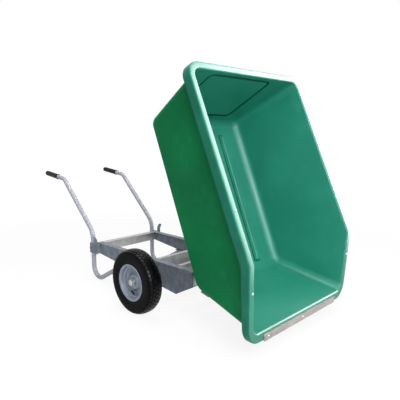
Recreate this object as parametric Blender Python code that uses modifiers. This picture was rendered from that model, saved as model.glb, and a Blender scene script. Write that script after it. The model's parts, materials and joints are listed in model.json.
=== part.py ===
"""Tipping wheelbarrow: a moulded tub on a two-wheeled galvanised chassis, shown tipped out.

Metres, +X forward (the way the tub tips), +Y left, +Z up. The ground is z = 0. The model is laid out
from the point on the ground under the axle and is moved at the end so that the origin lies under the
middle of its box.
"""
import math

import bmesh
import bpy
from mathutils import Matrix, Vector

# Clearances
GAP = 0.0003
RUN = 0.0005

# Wheels
WHEEL_R = 0.200
TYRE_W = 0.100
TYRE_WALL = 0.010
BEAD_R = 0.103
RIM_FLANGE_R = 0.114
RIM_HALF = 0.045
RIM_WALL = 0.003
WELL_R = 0.086
WELL_HALF = 0.022
WELL_SLOPE = 0.006
BEAD_W = 0.014
DISC_T = 0.004
DISC_SET = 0.008
DISH_STEP = 0.012
DISH_DEPTH = 0.030
DISH_FLAT = 0.017
DISH_SLOPE = 0.019
HUB_R = 0.026
HUB_LENGTH = 0.068
TRACK_HALF = 0.463
VALVE_R = 0.0045
VALVE_ANGLE = math.radians(-95)
VALVE_LEAN = math.radians(48)
VALVE_SET = 0.010
VALVE_FOOT = 0.004
VALVE_LENGTH = 0.034
SLOT_MID_R = 0.064
SLOT_LONG = 0.028
SLOT_WIDE = 0.016

# Axle
AXLE_R = 0.017
STUB_R = 0.0125
STUB_OUT = 0.011
CAP_R = 0.0175
CAP_WALL = 0.003

# Chassis frame, angle section, and what stands at a set distance from its sides
FRAME_HALF = 0.280
HANDLE_OUT = 0.005
HINGE_IN = 0.075
FRAME_TOP = 0.280
FRAME_REAR = -0.720
FRAME_FRONT = 0.303
ANGLE_H = 0.093
REAR_H = 0.075
ANGLE_W = 0.045
ANGLE_T = 0.005
MEMBER_W = 0.030
MID_REAR_X = -0.050
MID_FRONT_X = 0.155
RAIL_DEEP_X = 0.160
RAIL_DEEP_Z = 0.110

# Axle plates
PLATE_T = 0.005
PLATE_TOP = 0.252
PLATE_REAR = -0.303

# Handles, one bent tube a side
TUBE_R = 0.01685
TUBE_WALL = 0.0032
HANDLE_BACK = 0.044
SLOPE_REACH = 0.401
GRIP_BEND_Z = 0.727
GRIP_RUN = 0.284
GRIP_RISE = math.radians(6.0)
SLOPE = math.radians(43.2)
TOP_BEND_R = 0.080
KNEE_R = 0.120
GROUND_BEND_R = 0.0765
STAY_ANGLE = math.radians(29.3)
GRIP_LENGTH = 0.190
GRIP_R = 0.0200
GRIP_EDGE = 0.004
PAD_T = 0.006
PAD_LENGTH = 0.100
PAD_W = 0.044

# Handle clamps
CLAMP_T = 0.005
CLAMP_REAR = 0.014
CLAMP_LOW = 0.198
CLAMP_TOP = 0.274
CLAMP_LAP = 0.040
CLAMP_BOLT_IN = 0.022
TAB_W = 0.034
TAB_BEND_Z = 0.305
TAB_RISE = 0.030
TAB_OUT = 0.018
CLAMP_BOLT_R = 0.005
CLAMP_BOLT_LOW = 0.218
CLAMP_BOLT_TOP = 0.256
CLAMP_BOLT_MID = 0.236

# Hinge
PIN_X = 0.3642
PIN_Z = 0.220
PIN_R = 0.008
PIN_HEAD = 0.004
LUG_T = 0.010
LUG_R = 0.018
BASE_T = 0.005
BRACKET_HALF = 0.034
BRACKET_LOW = 0.194
BRACKET_TOP = 0.262
BRACKET_BOLT = 0.022
EAR_T = 0.006
CLEVIS_REAR = 0.058
CLEVIS_FRONT = -0.004
CLEVIS_HALF = 0.026
CLEVIS_BOLT_X = -0.047
CLEVIS_BOLT_OUT = 0.010
EAR_REAR = -0.026
HINGE_BOLT_R = 0.004

# Tub, measured in its own frame: forward and up from the hinge pin while it lies on the chassis
TIP_ANGLE = math.radians(67.8)
TUB_WALL = 0.0045
FLOOR_REAR = -0.997
FLOOR_LENGTH = 1.006
FLOOR_HALF = 0.385
TUB_DEPTH = 0.509
RIM_SLOPE = math.radians(1.4)
RIM_REAR = -1.0945
RIM_HALF_WIDTH = 0.499
FLANGE = 0.040
LIP_FLANGE = 0.051
SKIRT = 0.052
LIP_SKIRT = 0.038
CUT_START = -0.0547
LIP_X = 0.3217
LIP_H = 0.3602
TUB_ROUND = 0.048
RIM_ROUND = 0.008
RIB_W = 0.036
RIB_H = 0.022
RIB_SPREAD = 0.016
RIB_END_SLOPE = 0.008
RIB_REAR_IN = 0.107
RIB_FRONT_IN = 0.047

# Cross bar under the ramp
BAR_W = 0.058
BAR_T = 0.008
BAR_HALF = 0.360
BAR_START = 0.024
BAR_BOLT_Y = 0.300

# Wear strip on the lip
STRIP_W = 0.038
STRIP_OUT = 0.004
STRIP_T = 0.003
STRIP_HALF = 0.358
STRIP_BOLT_Y = 0.320
SMALL_BOLT_R = 0.003

# Worked out from the sizes above
AXLE_Z = WHEEL_R
HANDLE_Y = FRAME_HALF + HANDLE_OUT
HANDLE_X = FRAME_REAR - HANDLE_BACK
GRIP_BEND_X = HANDLE_X - SLOPE_REACH
HINGE_Y = FRAME_HALF - HINGE_IN
ANGLE_LOW = FRAME_TOP - ANGLE_H
REAR_LOW = FRAME_TOP - REAR_H
RAIL_FALL = (REAR_LOW - RAIL_DEEP_Z) / (RAIL_DEEP_X - FRAME_REAR)
WEB_IN = FRAME_HALF - ANGLE_T
FLANGE_IN = FRAME_HALF - ANGLE_W
FLOOR_Z = FRAME_TOP + RUN - PIN_Z
RIM_Z = FLOOR_Z + TUB_DEPTH
FLOOR_FRONT = FLOOR_REAR + FLOOR_LENGTH
CHEEK_IN = HANDLE_Y + TUBE_R + GAP
CLAMP_BOLT_FRONT = FRAME_REAR + CLAMP_BOLT_IN

# How drawings lie in space: a drawing's x and y become the axes named
DRAWN_XZ = Matrix.Rotation(math.pi / 2, 4, "X")
DRAWN_YZ = Matrix(((0, 0, 1, 0), (1, 0, 0, 0), (0, 1, 0, 0), (0, 0, 0, 1)))
TIPPED = Matrix.Translation((PIN_X, 0, PIN_Z)) @ Matrix.Rotation(TIP_ANGLE, 4, "Y")


def clear_scene():
    for item in list(bpy.data.objects):
        bpy.data.objects.remove(item, do_unlink=True)


clear_scene()
PARTS = bpy.data.collections.new("tipping_wheelbarrow")
CUTTERS = bpy.data.collections.new("cutters")
bpy.context.scene.collection.children.link(PARTS)
bpy.context.scene.collection.children.link(CUTTERS)


def material(name, colour, roughness, metallic=0.0):
    made = bpy.data.materials.new(name)
    made.use_nodes = True
    shader = made.node_tree.nodes["Principled BSDF"]
    shader.inputs["Base Color"].default_value = (*colour, 1.0)
    shader.inputs["Roughness"].default_value = roughness
    shader.inputs["Metallic"].default_value = metallic
    made.diffuse_color = (*colour, 1.0)
    return made


GALVANISED = material("galvanised_steel", (0.42, 0.45, 0.50), 0.45, 0.8)
BRIGHT = material("zinc_plated_steel", (0.60, 0.61, 0.62), 0.35, 0.9)
GREEN = material("green_polyethylene", (0.015, 0.17, 0.07), 0.45)
RUBBER = material("black_rubber", (0.012, 0.013, 0.014), 0.75)
RIM_GREY = material("silver_paint", (0.30, 0.33, 0.36), 0.45, 0.5)
STRIP = material("worn_steel_strip", (0.55, 0.50, 0.48), 0.4, 0.8)


def outward(side):
    """Turns a piece drawn along +Z so that it points away from the middle on this side."""
    return Matrix.Rotation(-side * math.pi / 2, 4, "X")


def keep(item, surface, smooth=True):
    """Gives a finished piece its material and puts it with the parts."""
    item.data.materials.clear()
    item.data.materials.append(surface)
    if smooth and item.type == "MESH":
        item.data.shade_smooth()
        item.data.set_sharp_from_angle(angle=math.radians(35))
    for home in list(item.users_collection):
        home.objects.unlink(item)
    PARTS.objects.link(item)
    return item


def hide(item):
    """Puts a cutter or a joined shape with the cutters."""
    item.hide_render = True
    item.display_type = "WIRE"
    for home in list(item.users_collection):
        home.objects.unlink(item)
    CUTTERS.objects.link(item)
    return item


def mesh_object(name, bm):
    mesh = bpy.data.meshes.new(name)
    bmesh.ops.recalc_face_normals(bm, faces=bm.faces)
    bm.to_mesh(mesh)
    bm.free()
    item = bpy.data.objects.new(name, mesh)
    bpy.context.scene.collection.objects.link(item)
    return item


def as_mesh(item):
    """Replaces a curve or a piece with modifiers by the plain closed mesh that it makes."""
    bpy.context.view_layer.update()
    graph = bpy.context.evaluated_depsgraph_get()
    mesh = bpy.data.meshes.new_from_object(item.evaluated_get(graph), depsgraph=graph)
    mesh.transform(item.matrix_world)
    bm = bmesh.new()
    bm.from_mesh(mesh)
    bmesh.ops.remove_doubles(bm, verts=bm.verts, dist=0.00002)
    bm.to_mesh(mesh)
    bm.free()
    name = item.name
    bpy.data.objects.remove(item, do_unlink=True)
    made = bpy.data.objects.new(name, mesh)
    made.name = name
    bpy.context.scene.collection.objects.link(made)
    return made


def combine(item, tool, operation):
    step = item.modifiers.new(operation.lower(), "BOOLEAN")
    step.operation = operation
    step.solver = "EXACT"
    step.object = hide(tool)


def box(name, low, high):
    bm = bmesh.new()
    bmesh.ops.create_cube(bm, size=1.0)
    size = [b - a for a, b in zip(low, high)]
    middle = [(a + b) / 2 for a, b in zip(low, high)]
    bmesh.ops.scale(bm, vec=size, verts=bm.verts)
    bmesh.ops.translate(bm, vec=middle, verts=bm.verts)
    return mesh_object(name, bm)


def slab(name, outline, low, high, drawn=DRAWN_XZ):
    """A flat outline, given as points, with its thickness from low to high across the drawing."""
    curve = bpy.data.curves.new(name, "CURVE")
    curve.dimensions = "2D"
    curve.fill_mode = "BOTH"
    curve.extrude = (high - low) / 2
    spline = curve.splines.new("POLY")
    spline.points.add(len(outline) - 1)
    for point, (a, b) in zip(spline.points, outline):
        point.co = (a, b, 0.0, 1.0)
    spline.use_cyclic_u = True
    item = bpy.data.objects.new(name, curve)
    bpy.context.scene.collection.objects.link(item)
    middle = (low + high) / 2
    across = Vector((0, middle, 0)) if drawn is DRAWN_XZ else Vector((middle, 0, 0))
    item.matrix_world = Matrix.Translation(across) @ drawn
    return as_mesh(item)


def turned(name, profile, steps, placed):
    """A profile of (radius, height) points turned about Z; it runs down the outer side."""
    bm = bmesh.new()
    points = [bm.verts.new((r, 0.0, z)) for r, z in profile]
    for a, b in zip(points, points[1:]):
        bm.edges.new((a, b))
    if profile[0][0] > 0 and profile[-1][0] > 0:
        bm.edges.new((points[-1], points[0]))
    mesh = bpy.data.meshes.new(name)
    bm.to_mesh(mesh)
    bm.free()
    item = bpy.data.objects.new(name, mesh)
    bpy.context.scene.collection.objects.link(item)
    item.matrix_world = placed
    screw = item.modifiers.new("turn", "SCREW")
    screw.steps = steps
    screw.render_steps = steps
    screw.use_merge_vertices = True
    screw.merge_threshold = 0.00001
    screw.use_smooth_shade = True
    return as_mesh(item)


def rod(name, radius, low, high, placed, steps=12):
    return turned(name, [(0, high), (radius, high), (radius, low), (0, low)], steps, placed)


def bolt_profile(radius, length, head=1.7, nut=1.7):
    """A six-sided bolt: the head above z = 0, the shank below it and a nut past its length."""
    thick = radius * 1.2
    profile = [(0, thick), (radius * head, thick), (radius * head, 0), (radius, 0), (radius, -length)]
    if nut:
        profile += [(radius * nut, -length), (radius * nut, -length - thick), (radius, -length - thick)]
        length += thick + radius * 0.4
    return profile + [(radius, -length), (0, -length)]


def group(name, items):
    """Puts separate solids in one object."""
    bm = bmesh.new()
    for item in items:
        bm.from_mesh(item.data)
        bpy.data.objects.remove(item, do_unlink=True)
    return mesh_object(name, bm)


def holes(name, radius, places, length, steps=12):
    """One cutter with a round bar at each placing; each bar is centred on its placing's Z."""
    bars = [rod(f"{name}_bar", radius, -length / 2, length / 2, placed, steps) for placed in places]
    return group(name, bars)


def bolts(name, profile, places):
    """One bolt at each place, numbered from 1."""
    made = [turned(f"{name}_{index}", profile, 6, placed) for index, placed in enumerate(places, 1)]
    return [keep(bolt, BRIGHT) for bolt in made]


def rounded_path(corners, radii, turn_steps):
    """Points along straight runs whose corners are rounded by arcs."""
    points = [Vector(corners[0])]
    for before, corner, after, radius in zip(corners, corners[1:], corners[2:], radii):
        corner = Vector(corner)
        back = (Vector(before) - corner).normalized()
        ahead = (Vector(after) - corner).normalized()
        half = back.angle(ahead) / 2
        centre = corner + (back + ahead).normalized() * (radius / math.sin(half))
        start = corner + back * (radius / math.tan(half)) - centre
        end = corner + ahead * (radius / math.tan(half)) - centre
        swing = start.angle(end)
        for index in range(turn_steps + 1):
            share = index / turn_steps
            weight = Vector((math.sin((1 - share) * swing), math.sin(share * swing), 0)) / math.sin(swing)
            points.append(centre + start * weight.x + end * weight.y)
    points.append(Vector(corners[-1]))
    return points


def tube(name, points, radius):
    curve = bpy.data.curves.new(name, "CURVE")
    curve.dimensions = "3D"
    curve.bevel_depth = radius
    curve.bevel_resolution = 4
    curve.use_fill_caps = True
    spline = curve.splines.new("POLY")
    spline.points.add(len(points) - 1)
    for point, place in zip(spline.points, points):
        point.co = (*place, 1.0)
    item = bpy.data.objects.new(name, curve)
    bpy.context.scene.collection.objects.link(item)
    return as_mesh(item)


def hang_on(item, joint):
    """Parents a moving piece to the empty on its joint, without moving it."""
    item.parent = joint
    item.matrix_parent_inverse = joint.matrix_world.inverted()


def joint_empty(name, place):
    empty = bpy.data.objects.new(name, None)
    empty.location = place
    PARTS.objects.link(empty)
    bpy.context.view_layer.update()
    return empty


# Chassis
def side_name(side):
    return "left" if side > 0 else "right"


def clamp_bolt_places(side):
    """The bolt axes of one handle clamp, at the cheek's outer face: two into the rail, one into the tube."""
    face = side * (CHEEK_IN + CLAMP_T + GAP)
    spots = [
        (CLAMP_BOLT_FRONT, CLAMP_BOLT_LOW),
        (CLAMP_BOLT_FRONT, CLAMP_BOLT_TOP),
        (HANDLE_X, CLAMP_BOLT_MID),
    ]
    return [Matrix.Translation((x, face, z)) @ outward(side) for x, z in spots]


def axle_place(side):
    return Matrix.Translation((0, 0, AXLE_Z)) @ outward(side)


def axle_cutter(name):
    return rod(name, AXLE_R + GAP, -TRACK_HALF, TRACK_HALF, axle_place(1), 24)


def bracket_bolt_places(side):
    face = FRAME_FRONT + BASE_T + 2 * GAP
    height = (BRACKET_LOW + BRACKET_TOP) / 2
    across = [side * HINGE_Y + shift for shift in (-BRACKET_BOLT, BRACKET_BOLT)]
    forward = Matrix.Rotation(math.pi / 2, 4, "Y")
    return [Matrix.Translation((face, y, height)) @ forward for y in across]


def rail_low(x):
    """Height of the rail's lower edge, which falls from the rear end to the deepest point."""
    return REAR_LOW - RAIL_FALL * (x - FRAME_REAR)


def make_rail(side):
    """A folded rail: a flange on top, and a web that deepens towards the axle and rises again in front."""
    outline = [
        (side * FRAME_HALF, RAIL_DEEP_Z),
        (side * FRAME_HALF, FRAME_TOP),
        (side * FLANGE_IN, FRAME_TOP),
        (side * FLANGE_IN, FRAME_TOP - ANGLE_T),
        (side * WEB_IN, FRAME_TOP - ANGLE_T),
        (side * WEB_IN, RAIL_DEEP_Z),
    ]
    name = f"rail_{side_name(side)}"
    rail = slab(name, outline, FRAME_REAR, FRAME_FRONT, DRAWN_YZ)
    rise = (ANGLE_LOW - RAIL_DEEP_Z) / (FRAME_FRONT - RAIL_DEEP_X)
    rear, front, under = FRAME_REAR - ANGLE_W, FRAME_FRONT + ANGLE_W, RAIL_DEEP_Z - ANGLE_W
    offcut = [
        (rear, under),
        (front, under),
        (front, ANGLE_LOW + rise * ANGLE_W),
        (RAIL_DEEP_X, RAIL_DEEP_Z),
        (rear, rail_low(rear)),
    ]
    sides = sorted((side * (WEB_IN - ANGLE_T), side * (FRAME_HALF + ANGLE_T)))
    combine(rail, slab(f"{name}_offcut", offcut, *sides), "DIFFERENCE")
    combine(rail, axle_cutter(f"{name}_axle_hole"), "DIFFERENCE")
    reach = 4 * ANGLE_W
    cutter = holes(f"{name}_bolt_holes", CLAMP_BOLT_R + RUN, clamp_bolt_places(side)[:2], reach)
    combine(rail, cutter, "DIFFERENCE")
    keep(rail, GALVANISED, smooth=False)


def make_member(name, web_front, lean, width, web_low=ANGLE_LOW):
    """A cross member; its flange lies forward (lean 1) or back (lean -1) of its web."""
    web_back = web_front - ANGLE_T
    if lean < 0:
        near, far = web_front, web_back
    else:
        near, far = web_back, web_front
    tip = near + lean * width
    outline = [
        (near, web_low),
        (near, FRAME_TOP),
        (tip, FRAME_TOP),
        (tip, FRAME_TOP - ANGLE_T),
        (far, FRAME_TOP - ANGLE_T),
        (far, web_low),
    ]
    end = WEB_IN - GAP
    member = slab(name, outline, -end, end)
    for side in (-1, 1):
        low = min(side * (FLANGE_IN - GAP), side * FRAME_HALF)
        high = max(side * (FLANGE_IN - GAP), side * FRAME_HALF)
        cope = box(
            f"{name}_cope_{side_name(side)}",
            (web_back - 2 * width, low, FRAME_TOP - ANGLE_T - GAP),
            (web_front + 2 * width, high, FRAME_TOP + ANGLE_T),
        )
        combine(member, cope, "DIFFERENCE")
    return keep(member, GALVANISED, smooth=False)


def make_front_member():
    """The front cross member, drilled for the hinge brackets, with the bolts that hold them."""
    places = [placed for side in (-1, 1) for placed in bracket_bolt_places(side)]
    member = make_member("front_member", FRAME_FRONT, -1, ANGLE_W)
    reach = 4 * (BASE_T + ANGLE_T)
    combine(member, holes("front_member_holes", HINGE_BOLT_R + RUN, places, reach), "DIFFERENCE")
    length = GAP + BASE_T + GAP + ANGLE_T + GAP
    bolts("bracket_bolt", bolt_profile(HINGE_BOLT_R, length), places)


def make_axle_plate(side):
    """The plate that doubles the rail's web around the axle, flush with its lower edge."""
    name = f"axle_plate_{side_name(side)}"
    outline = [
        (PLATE_REAR, PLATE_TOP),
        (PLATE_REAR, rail_low(PLATE_REAR)),
        (RAIL_DEEP_X, RAIL_DEEP_Z),
        (FRAME_FRONT, ANGLE_LOW),
        (FRAME_FRONT, PLATE_TOP),
    ]
    near = FRAME_HALF + GAP
    faces = sorted((side * near, side * (near + PLATE_T)))
    plate = slab(name, outline, *faces)
    combine(plate, axle_cutter(f"{name}_hole"), "DIFFERENCE")
    keep(plate, GALVANISED, smooth=False)


def make_axle():
    shoulder = TRACK_HALF - HUB_LENGTH / 2 - RUN
    end = TRACK_HALF + HUB_LENGTH / 2 + STUB_OUT
    profile = [(0, end), (STUB_R, end), (STUB_R, shoulder), (AXLE_R, shoulder)]
    profile += [(r, -z) for r, z in reversed(profile)]
    keep(turned("axle", profile, 24, axle_place(1)), BRIGHT)


def make_axle_cap(side):
    """A pressed cap on the stub's end, which keeps the wheel on."""
    start = TRACK_HALF + HUB_LENGTH / 2 + RUN
    end = start + STUB_OUT + CAP_WALL
    inner = STUB_R + GAP
    profile = [
        (0, end),
        (inner, end),
        (CAP_R, end - CAP_WALL),
        (CAP_R, start),
        (inner, start),
        (inner, end - CAP_WALL),
        (0, end - CAP_WALL),
    ]
    keep(turned(f"axle_cap_{side_name(side)}", profile, 16, axle_place(side)), BRIGHT)


def handle_corners():
    """The corners of the handle's centre line in its own plane, from the grip's end to the rail."""
    grip_end = (
        GRIP_BEND_X - GRIP_RUN * math.cos(GRIP_RISE),
        GRIP_BEND_Z + GRIP_RUN * math.sin(GRIP_RISE),
    )
    knee_z = GRIP_BEND_Z - SLOPE_REACH * math.tan(SLOPE)
    rise = math.tan(STAY_ANGLE)
    ground_z = TUBE_R + GROUND_BEND_R - GROUND_BEND_R * (rise + 1 / math.cos(STAY_ANGLE))
    reach = (rail_low(HANDLE_X) - ground_z) / (rise + RAIL_FALL)
    return [
        grip_end,
        (GRIP_BEND_X, GRIP_BEND_Z),
        (HANDLE_X, knee_z),
        (HANDLE_X, ground_z),
        (HANDLE_X + reach, rail_low(HANDLE_X + reach)),
    ]


def under_rail(depth, length, lowest):
    """An outline along the rail's lower edge about the handle's end, from one depth under it to another."""
    x, z = handle_corners()[-1]
    along = Vector((1, -RAIL_FALL)).normalized() * (length / 2)
    down = Vector((-RAIL_FALL, -1)).normalized()
    start, end = Vector((x, z)) - along, Vector((x, z)) + along
    corners = [start + down * lowest, end + down * lowest, end + down * depth, start + down * depth]
    return [tuple(corner) for corner in corners]


def make_handle(side):
    name = f"handle_{side_name(side)}"
    corners = [(x, side * HANDLE_Y, z) for x, z in handle_corners()]
    radii = [TOP_BEND_R, KNEE_R, GROUND_BEND_R]
    path = rounded_path(corners, radii, 6)
    bore_path = [path[0] + (path[0] - path[1]).normalized() * TUBE_R] + path[1:]
    bore_path[-1] = path[-1] + (path[-1] - path[-2]).normalized() * TUBE_R
    inset = (path[1] - path[0]).normalized() * TUBE_WALL
    path[0] = path[0] + inset
    handle = tube(name, path, TUBE_R)
    combine(handle, tube(f"{name}_bore", bore_path, TUBE_R - TUBE_WALL), "DIFFERENCE")
    sides = sorted((side * HANDLE_Y - PAD_W, side * HANDLE_Y + PAD_W))
    above = slab(f"{name}_end_cut", under_rail(-ANGLE_W, 2 * PAD_LENGTH, PAD_T + 2 * GAP), *sides)
    combine(handle, above, "DIFFERENCE")
    reach = 4 * ANGLE_W
    bolt_holes = holes(f"{name}_bolt_holes", CLAMP_BOLT_R + RUN, clamp_bolt_places(side)[2:], reach)
    combine(handle, bolt_holes, "DIFFERENCE")
    keep(handle, GALVANISED)


def make_grip(side):
    """A rubber sleeve with a closed end, pushed over the tube."""
    end_x, end_z = handle_corners()[0]
    bore = TUBE_R + GAP
    profile = [
        (0, GRIP_R - TUBE_R),
        (GRIP_R - GRIP_EDGE, GRIP_R - TUBE_R),
        (GRIP_R, 0),
        (GRIP_R, -GRIP_LENGTH + GRIP_EDGE),
        (GRIP_R - GRIP_EDGE / 2, -GRIP_LENGTH),
        (bore, -GRIP_LENGTH),
        (bore, -TUBE_WALL + GAP),
        (0, -TUBE_WALL + GAP),
    ]
    lean = Matrix.Rotation(-math.pi / 2 + GRIP_RISE, 4, "Y")
    placed = Matrix.Translation((end_x, side * HANDLE_Y, end_z)) @ lean
    keep(turned(f"grip_{side_name(side)}", profile, 16, placed), RUBBER)


def make_clamp_plate(side):
    """The cheek outside the handle tube, with the guide tab that rises beside the rail's end."""
    name = f"clamp_plate_{side_name(side)}"
    rear = HANDLE_X - CLAMP_REAR
    front = FRAME_REAR + CLAMP_LAP
    tab_rear = front - TAB_W
    outline = [
        (rear, CLAMP_LOW),
        (front, CLAMP_LOW),
        (front, TAB_BEND_Z),
        (tab_rear, TAB_BEND_Z),
        (tab_rear, CLAMP_TOP),
        (rear, CLAMP_TOP),
    ]
    faces = sorted((side * CHEEK_IN, side * (CHEEK_IN + CLAMP_T)))
    plate = slab(name, outline, *faces)
    bm = bmesh.new()
    bm.from_mesh(plate.data)
    bmesh.ops.dissolve_limit(bm, angle_limit=math.radians(1), verts=bm.verts, edges=bm.edges)
    tops = [f for f in bm.faces if f.normal.z > 0.9 and f.calc_center_median().z > TAB_BEND_Z - RUN]
    grown = bmesh.ops.extrude_face_region(bm, geom=tops)
    bmesh.ops.delete(bm, geom=tops, context="FACES_ONLY")
    moved = [v for v in grown["geom"] if isinstance(v, bmesh.types.BMVert)]
    bmesh.ops.translate(bm, vec=(0, side * TAB_OUT, TAB_RISE), verts=moved)
    bmesh.ops.recalc_face_normals(bm, faces=bm.faces)
    bm.to_mesh(plate.data)
    bm.free()
    cutter = holes(f"{name}_holes", CLAMP_BOLT_R + RUN, clamp_bolt_places(side), 4 * CLAMP_T)
    combine(plate, cutter, "DIFFERENCE")
    keep(plate, GALVANISED, smooth=False)


def make_clamp_spacer(side):
    faces = sorted((side * (FRAME_HALF + GAP), side * (CHEEK_IN - GAP)))
    name = f"clamp_spacer_{side_name(side)}"
    low = (FRAME_REAR, faces[0], CLAMP_LOW + CLAMP_T)
    high = (FRAME_REAR + CLAMP_LAP, faces[1], CLAMP_TOP)
    block = box(name, low, high)
    cutter = holes(f"{name}_holes", CLAMP_BOLT_R + RUN, clamp_bolt_places(side)[:2], 4 * ANGLE_W)
    combine(block, cutter, "DIFFERENCE")
    keep(block, GALVANISED, smooth=False)


def make_stay_pad(side):
    """The pad under the rail that the handle tube's lower end is welded to."""
    sides = (side * HANDLE_Y - PAD_W / 2, side * HANDLE_Y + PAD_W / 2)
    pad = slab(f"stay_pad_{side_name(side)}", under_rail(GAP, PAD_LENGTH, PAD_T + GAP), *sides)
    keep(pad, GALVANISED, smooth=False)


def make_clamp_bolts(side):
    start = CHEEK_IN + CLAMP_T + GAP
    places = clamp_bolt_places(side)
    bolts(f"rail_bolt_{side_name(side)}", bolt_profile(CLAMP_BOLT_R, start - WEB_IN + GAP), places[:2])
    to_tube = bolt_profile(CLAMP_BOLT_R, start - HANDLE_Y + TUBE_R + GAP)
    bolts(f"handle_bolt_{side_name(side)}", to_tube, places[2:])


# Hinge, chassis side
def arc(centre, radius, start, end, steps):
    """Points on an arc in a drawing, from one angle to another."""
    turn = [start + (end - start) * index / steps for index in range(steps + 1)]
    return [(centre[0] + radius * math.cos(a), centre[1] + radius * math.sin(a)) for a in turn]


def pin_place(side):
    return Matrix.Translation((PIN_X, side * HINGE_Y, PIN_Z)) @ outward(side)


def make_hinge_bracket(side):
    name = f"hinge_bracket_{side_name(side)}"
    face = FRAME_FRONT + GAP
    middle = side * HINGE_Y
    low = (face, middle - BRACKET_HALF, BRACKET_LOW)
    high = (face + BASE_T, middle + BRACKET_HALF, BRACKET_TOP)
    base = box(name, low, high)
    outline = [(face + BASE_T / 2, BRACKET_TOP - BASE_T), (face + BASE_T / 2, BRACKET_LOW + BASE_T)]
    outline += arc((PIN_X, PIN_Z), LUG_R, -math.pi / 2, math.pi / 2, 8)
    lug = slab(f"{name}_lug", outline, middle - LUG_T / 2, middle + LUG_T / 2)
    combine(base, lug, "UNION")
    combine(base, rod(f"{name}_pin_hole", PIN_R + GAP, -LUG_T, LUG_T, pin_place(side), 24), "DIFFERENCE")
    bolt_holes = holes(f"{name}_bolt_holes", HINGE_BOLT_R + RUN, bracket_bolt_places(side), 4 * BASE_T)
    combine(base, bolt_holes, "DIFFERENCE")
    keep(base, GALVANISED, smooth=False)


def make_hinge_pin(side):
    half = LUG_T / 2 + RUN + EAR_T + RUN
    head = PIN_R + PIN_HEAD
    end = half + PIN_HEAD
    profile = [(0, end), (head, end), (head, half), (PIN_R, half)]
    profile += [(r, -z) for r, z in reversed(profile)]
    keep(turned(f"hinge_pin_{side_name(side)}", profile, 24, pin_place(side)), BRIGHT)


# Tub, drawn lying on the chassis with the hinge pin at the origin
def ramp_direction():
    start = Vector((FLOOR_FRONT, 0, FLOOR_Z + TUB_WALL))
    return (lip_inner() - start).normalized()


def rim_direction():
    """Along the straight part of the rim, which rises a little towards the front."""
    return Vector((math.cos(RIM_SLOPE), 0, math.sin(RIM_SLOPE)))


def cut_start():
    """The middle of the rim's upper plane where its cut-down front begins."""
    rise = (CUT_START - RIM_REAR) * math.tan(RIM_SLOPE)
    return Vector((CUT_START, 0, RIM_Z + rise))


def cut_direction():
    """Along the cut-down front of the rim, from its start to the lip."""
    return (Vector((LIP_X, 0, FLOOR_Z + LIP_H)) - cut_start()).normalized()


def upright(along):
    """The direction square to a line in the side view, upwards."""
    return Vector((-along.z, 0, along.x))


def lip_inner():
    return Vector((LIP_X, 0, FLOOR_Z + LIP_H)) - cut_direction() * LIP_FLANGE


def tub_cage(bm):
    """The inner faces of the tub without its rim: a tapered box, open above, cut down at the front."""
    bmesh.ops.create_cube(bm, size=2.0)
    floor = FLOOR_Z + TUB_WALL
    depth = RIM_Z - floor
    ramp = ramp_direction()
    front = (FLOOR_FRONT, ramp.x / ramp.z)
    rear = (FLOOR_REAR + TUB_WALL, (RIM_REAR + FLANGE - FLOOR_REAR - TUB_WALL) / depth)
    half = (FLOOR_HALF - TUB_WALL, (RIM_HALF_WIDTH - FLANGE - FLOOR_HALF + TUB_WALL) / depth)
    for vert in bm.verts:
        rise = 2 * depth if vert.co.z > 0 else 0.0
        foot, slope = front if vert.co.x > 0 else rear
        across = half[0] + half[1] * rise
        vert.co = (foot + slope * rise, math.copysign(across, vert.co.y), floor + rise)
    top = [f for f in bm.faces if f.calc_center_median().z > floor + 1.5 * depth]
    bmesh.ops.delete(bm, geom=top, context="FACES")
    for along in (rim_direction(), cut_direction()):
        everything = bm.verts[:] + bm.edges[:] + bm.faces[:]
        bmesh.ops.bisect_plane(
            bm, geom=everything, plane_co=cut_start(), plane_no=upright(along), clear_outer=True
        )
    inner = [e for e in bm.edges if not e.is_boundary]
    bmesh.ops.bevel(
        bm, geom=inner, offset=TUB_ROUND, offset_type="OFFSET", segments=4, profile=0.5,
        affect="EDGES", clamp_overlap=True, material=-1,
    )


def rim_frames(bm):
    """For each point on the open edge: the way out in the rim's plane, and the rim's normal, both mitred."""
    ways = {}
    for edge in bm.edges:
        if not edge.is_boundary:
            continue
        a, b = edge.verts
        middle = (a.co + b.co) / 2
        normal = upright(cut_direction() if middle.x > CUT_START + RUN else rim_direction())
        out = (b.co - a.co).cross(normal).normalized()
        centre = Vector(((RIM_REAR + LIP_X) / 2, 0, middle.z))
        if out.dot(middle - centre) < 0:
            out = -out
        for vert in edge.verts:
            ways.setdefault(vert, []).append((out, normal))
    mitred = {}
    for vert, ((out_a, normal_a), (out_b, normal_b)) in ways.items():
        out = (out_a + out_b) / (1 + out_a.dot(out_b))
        normal = (normal_a + normal_b) / (1 + normal_a.dot(normal_b))
        mitred[vert] = (out, normal)
    return mitred


def flange_width(out):
    """Width of the rim's flange for this way out: wide along the sides and the rear, narrow at the lip."""
    forward = max(0.0, out.normalized().dot(cut_direction()))
    return FLANGE + (LIP_FLANGE - FLANGE) * forward**2


def skirt_height(place):
    """Height of the skirt under this point of the rim: it loses height along the cut towards the lip."""
    cut = Vector((LIP_X, 0, FLOOR_Z + LIP_H)) - cut_start()
    share = (place - cut_start()).dot(cut) / cut.length_squared
    return SKIRT + (LIP_SKIRT - SKIRT) * min(1.0, max(0.0, share))


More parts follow.
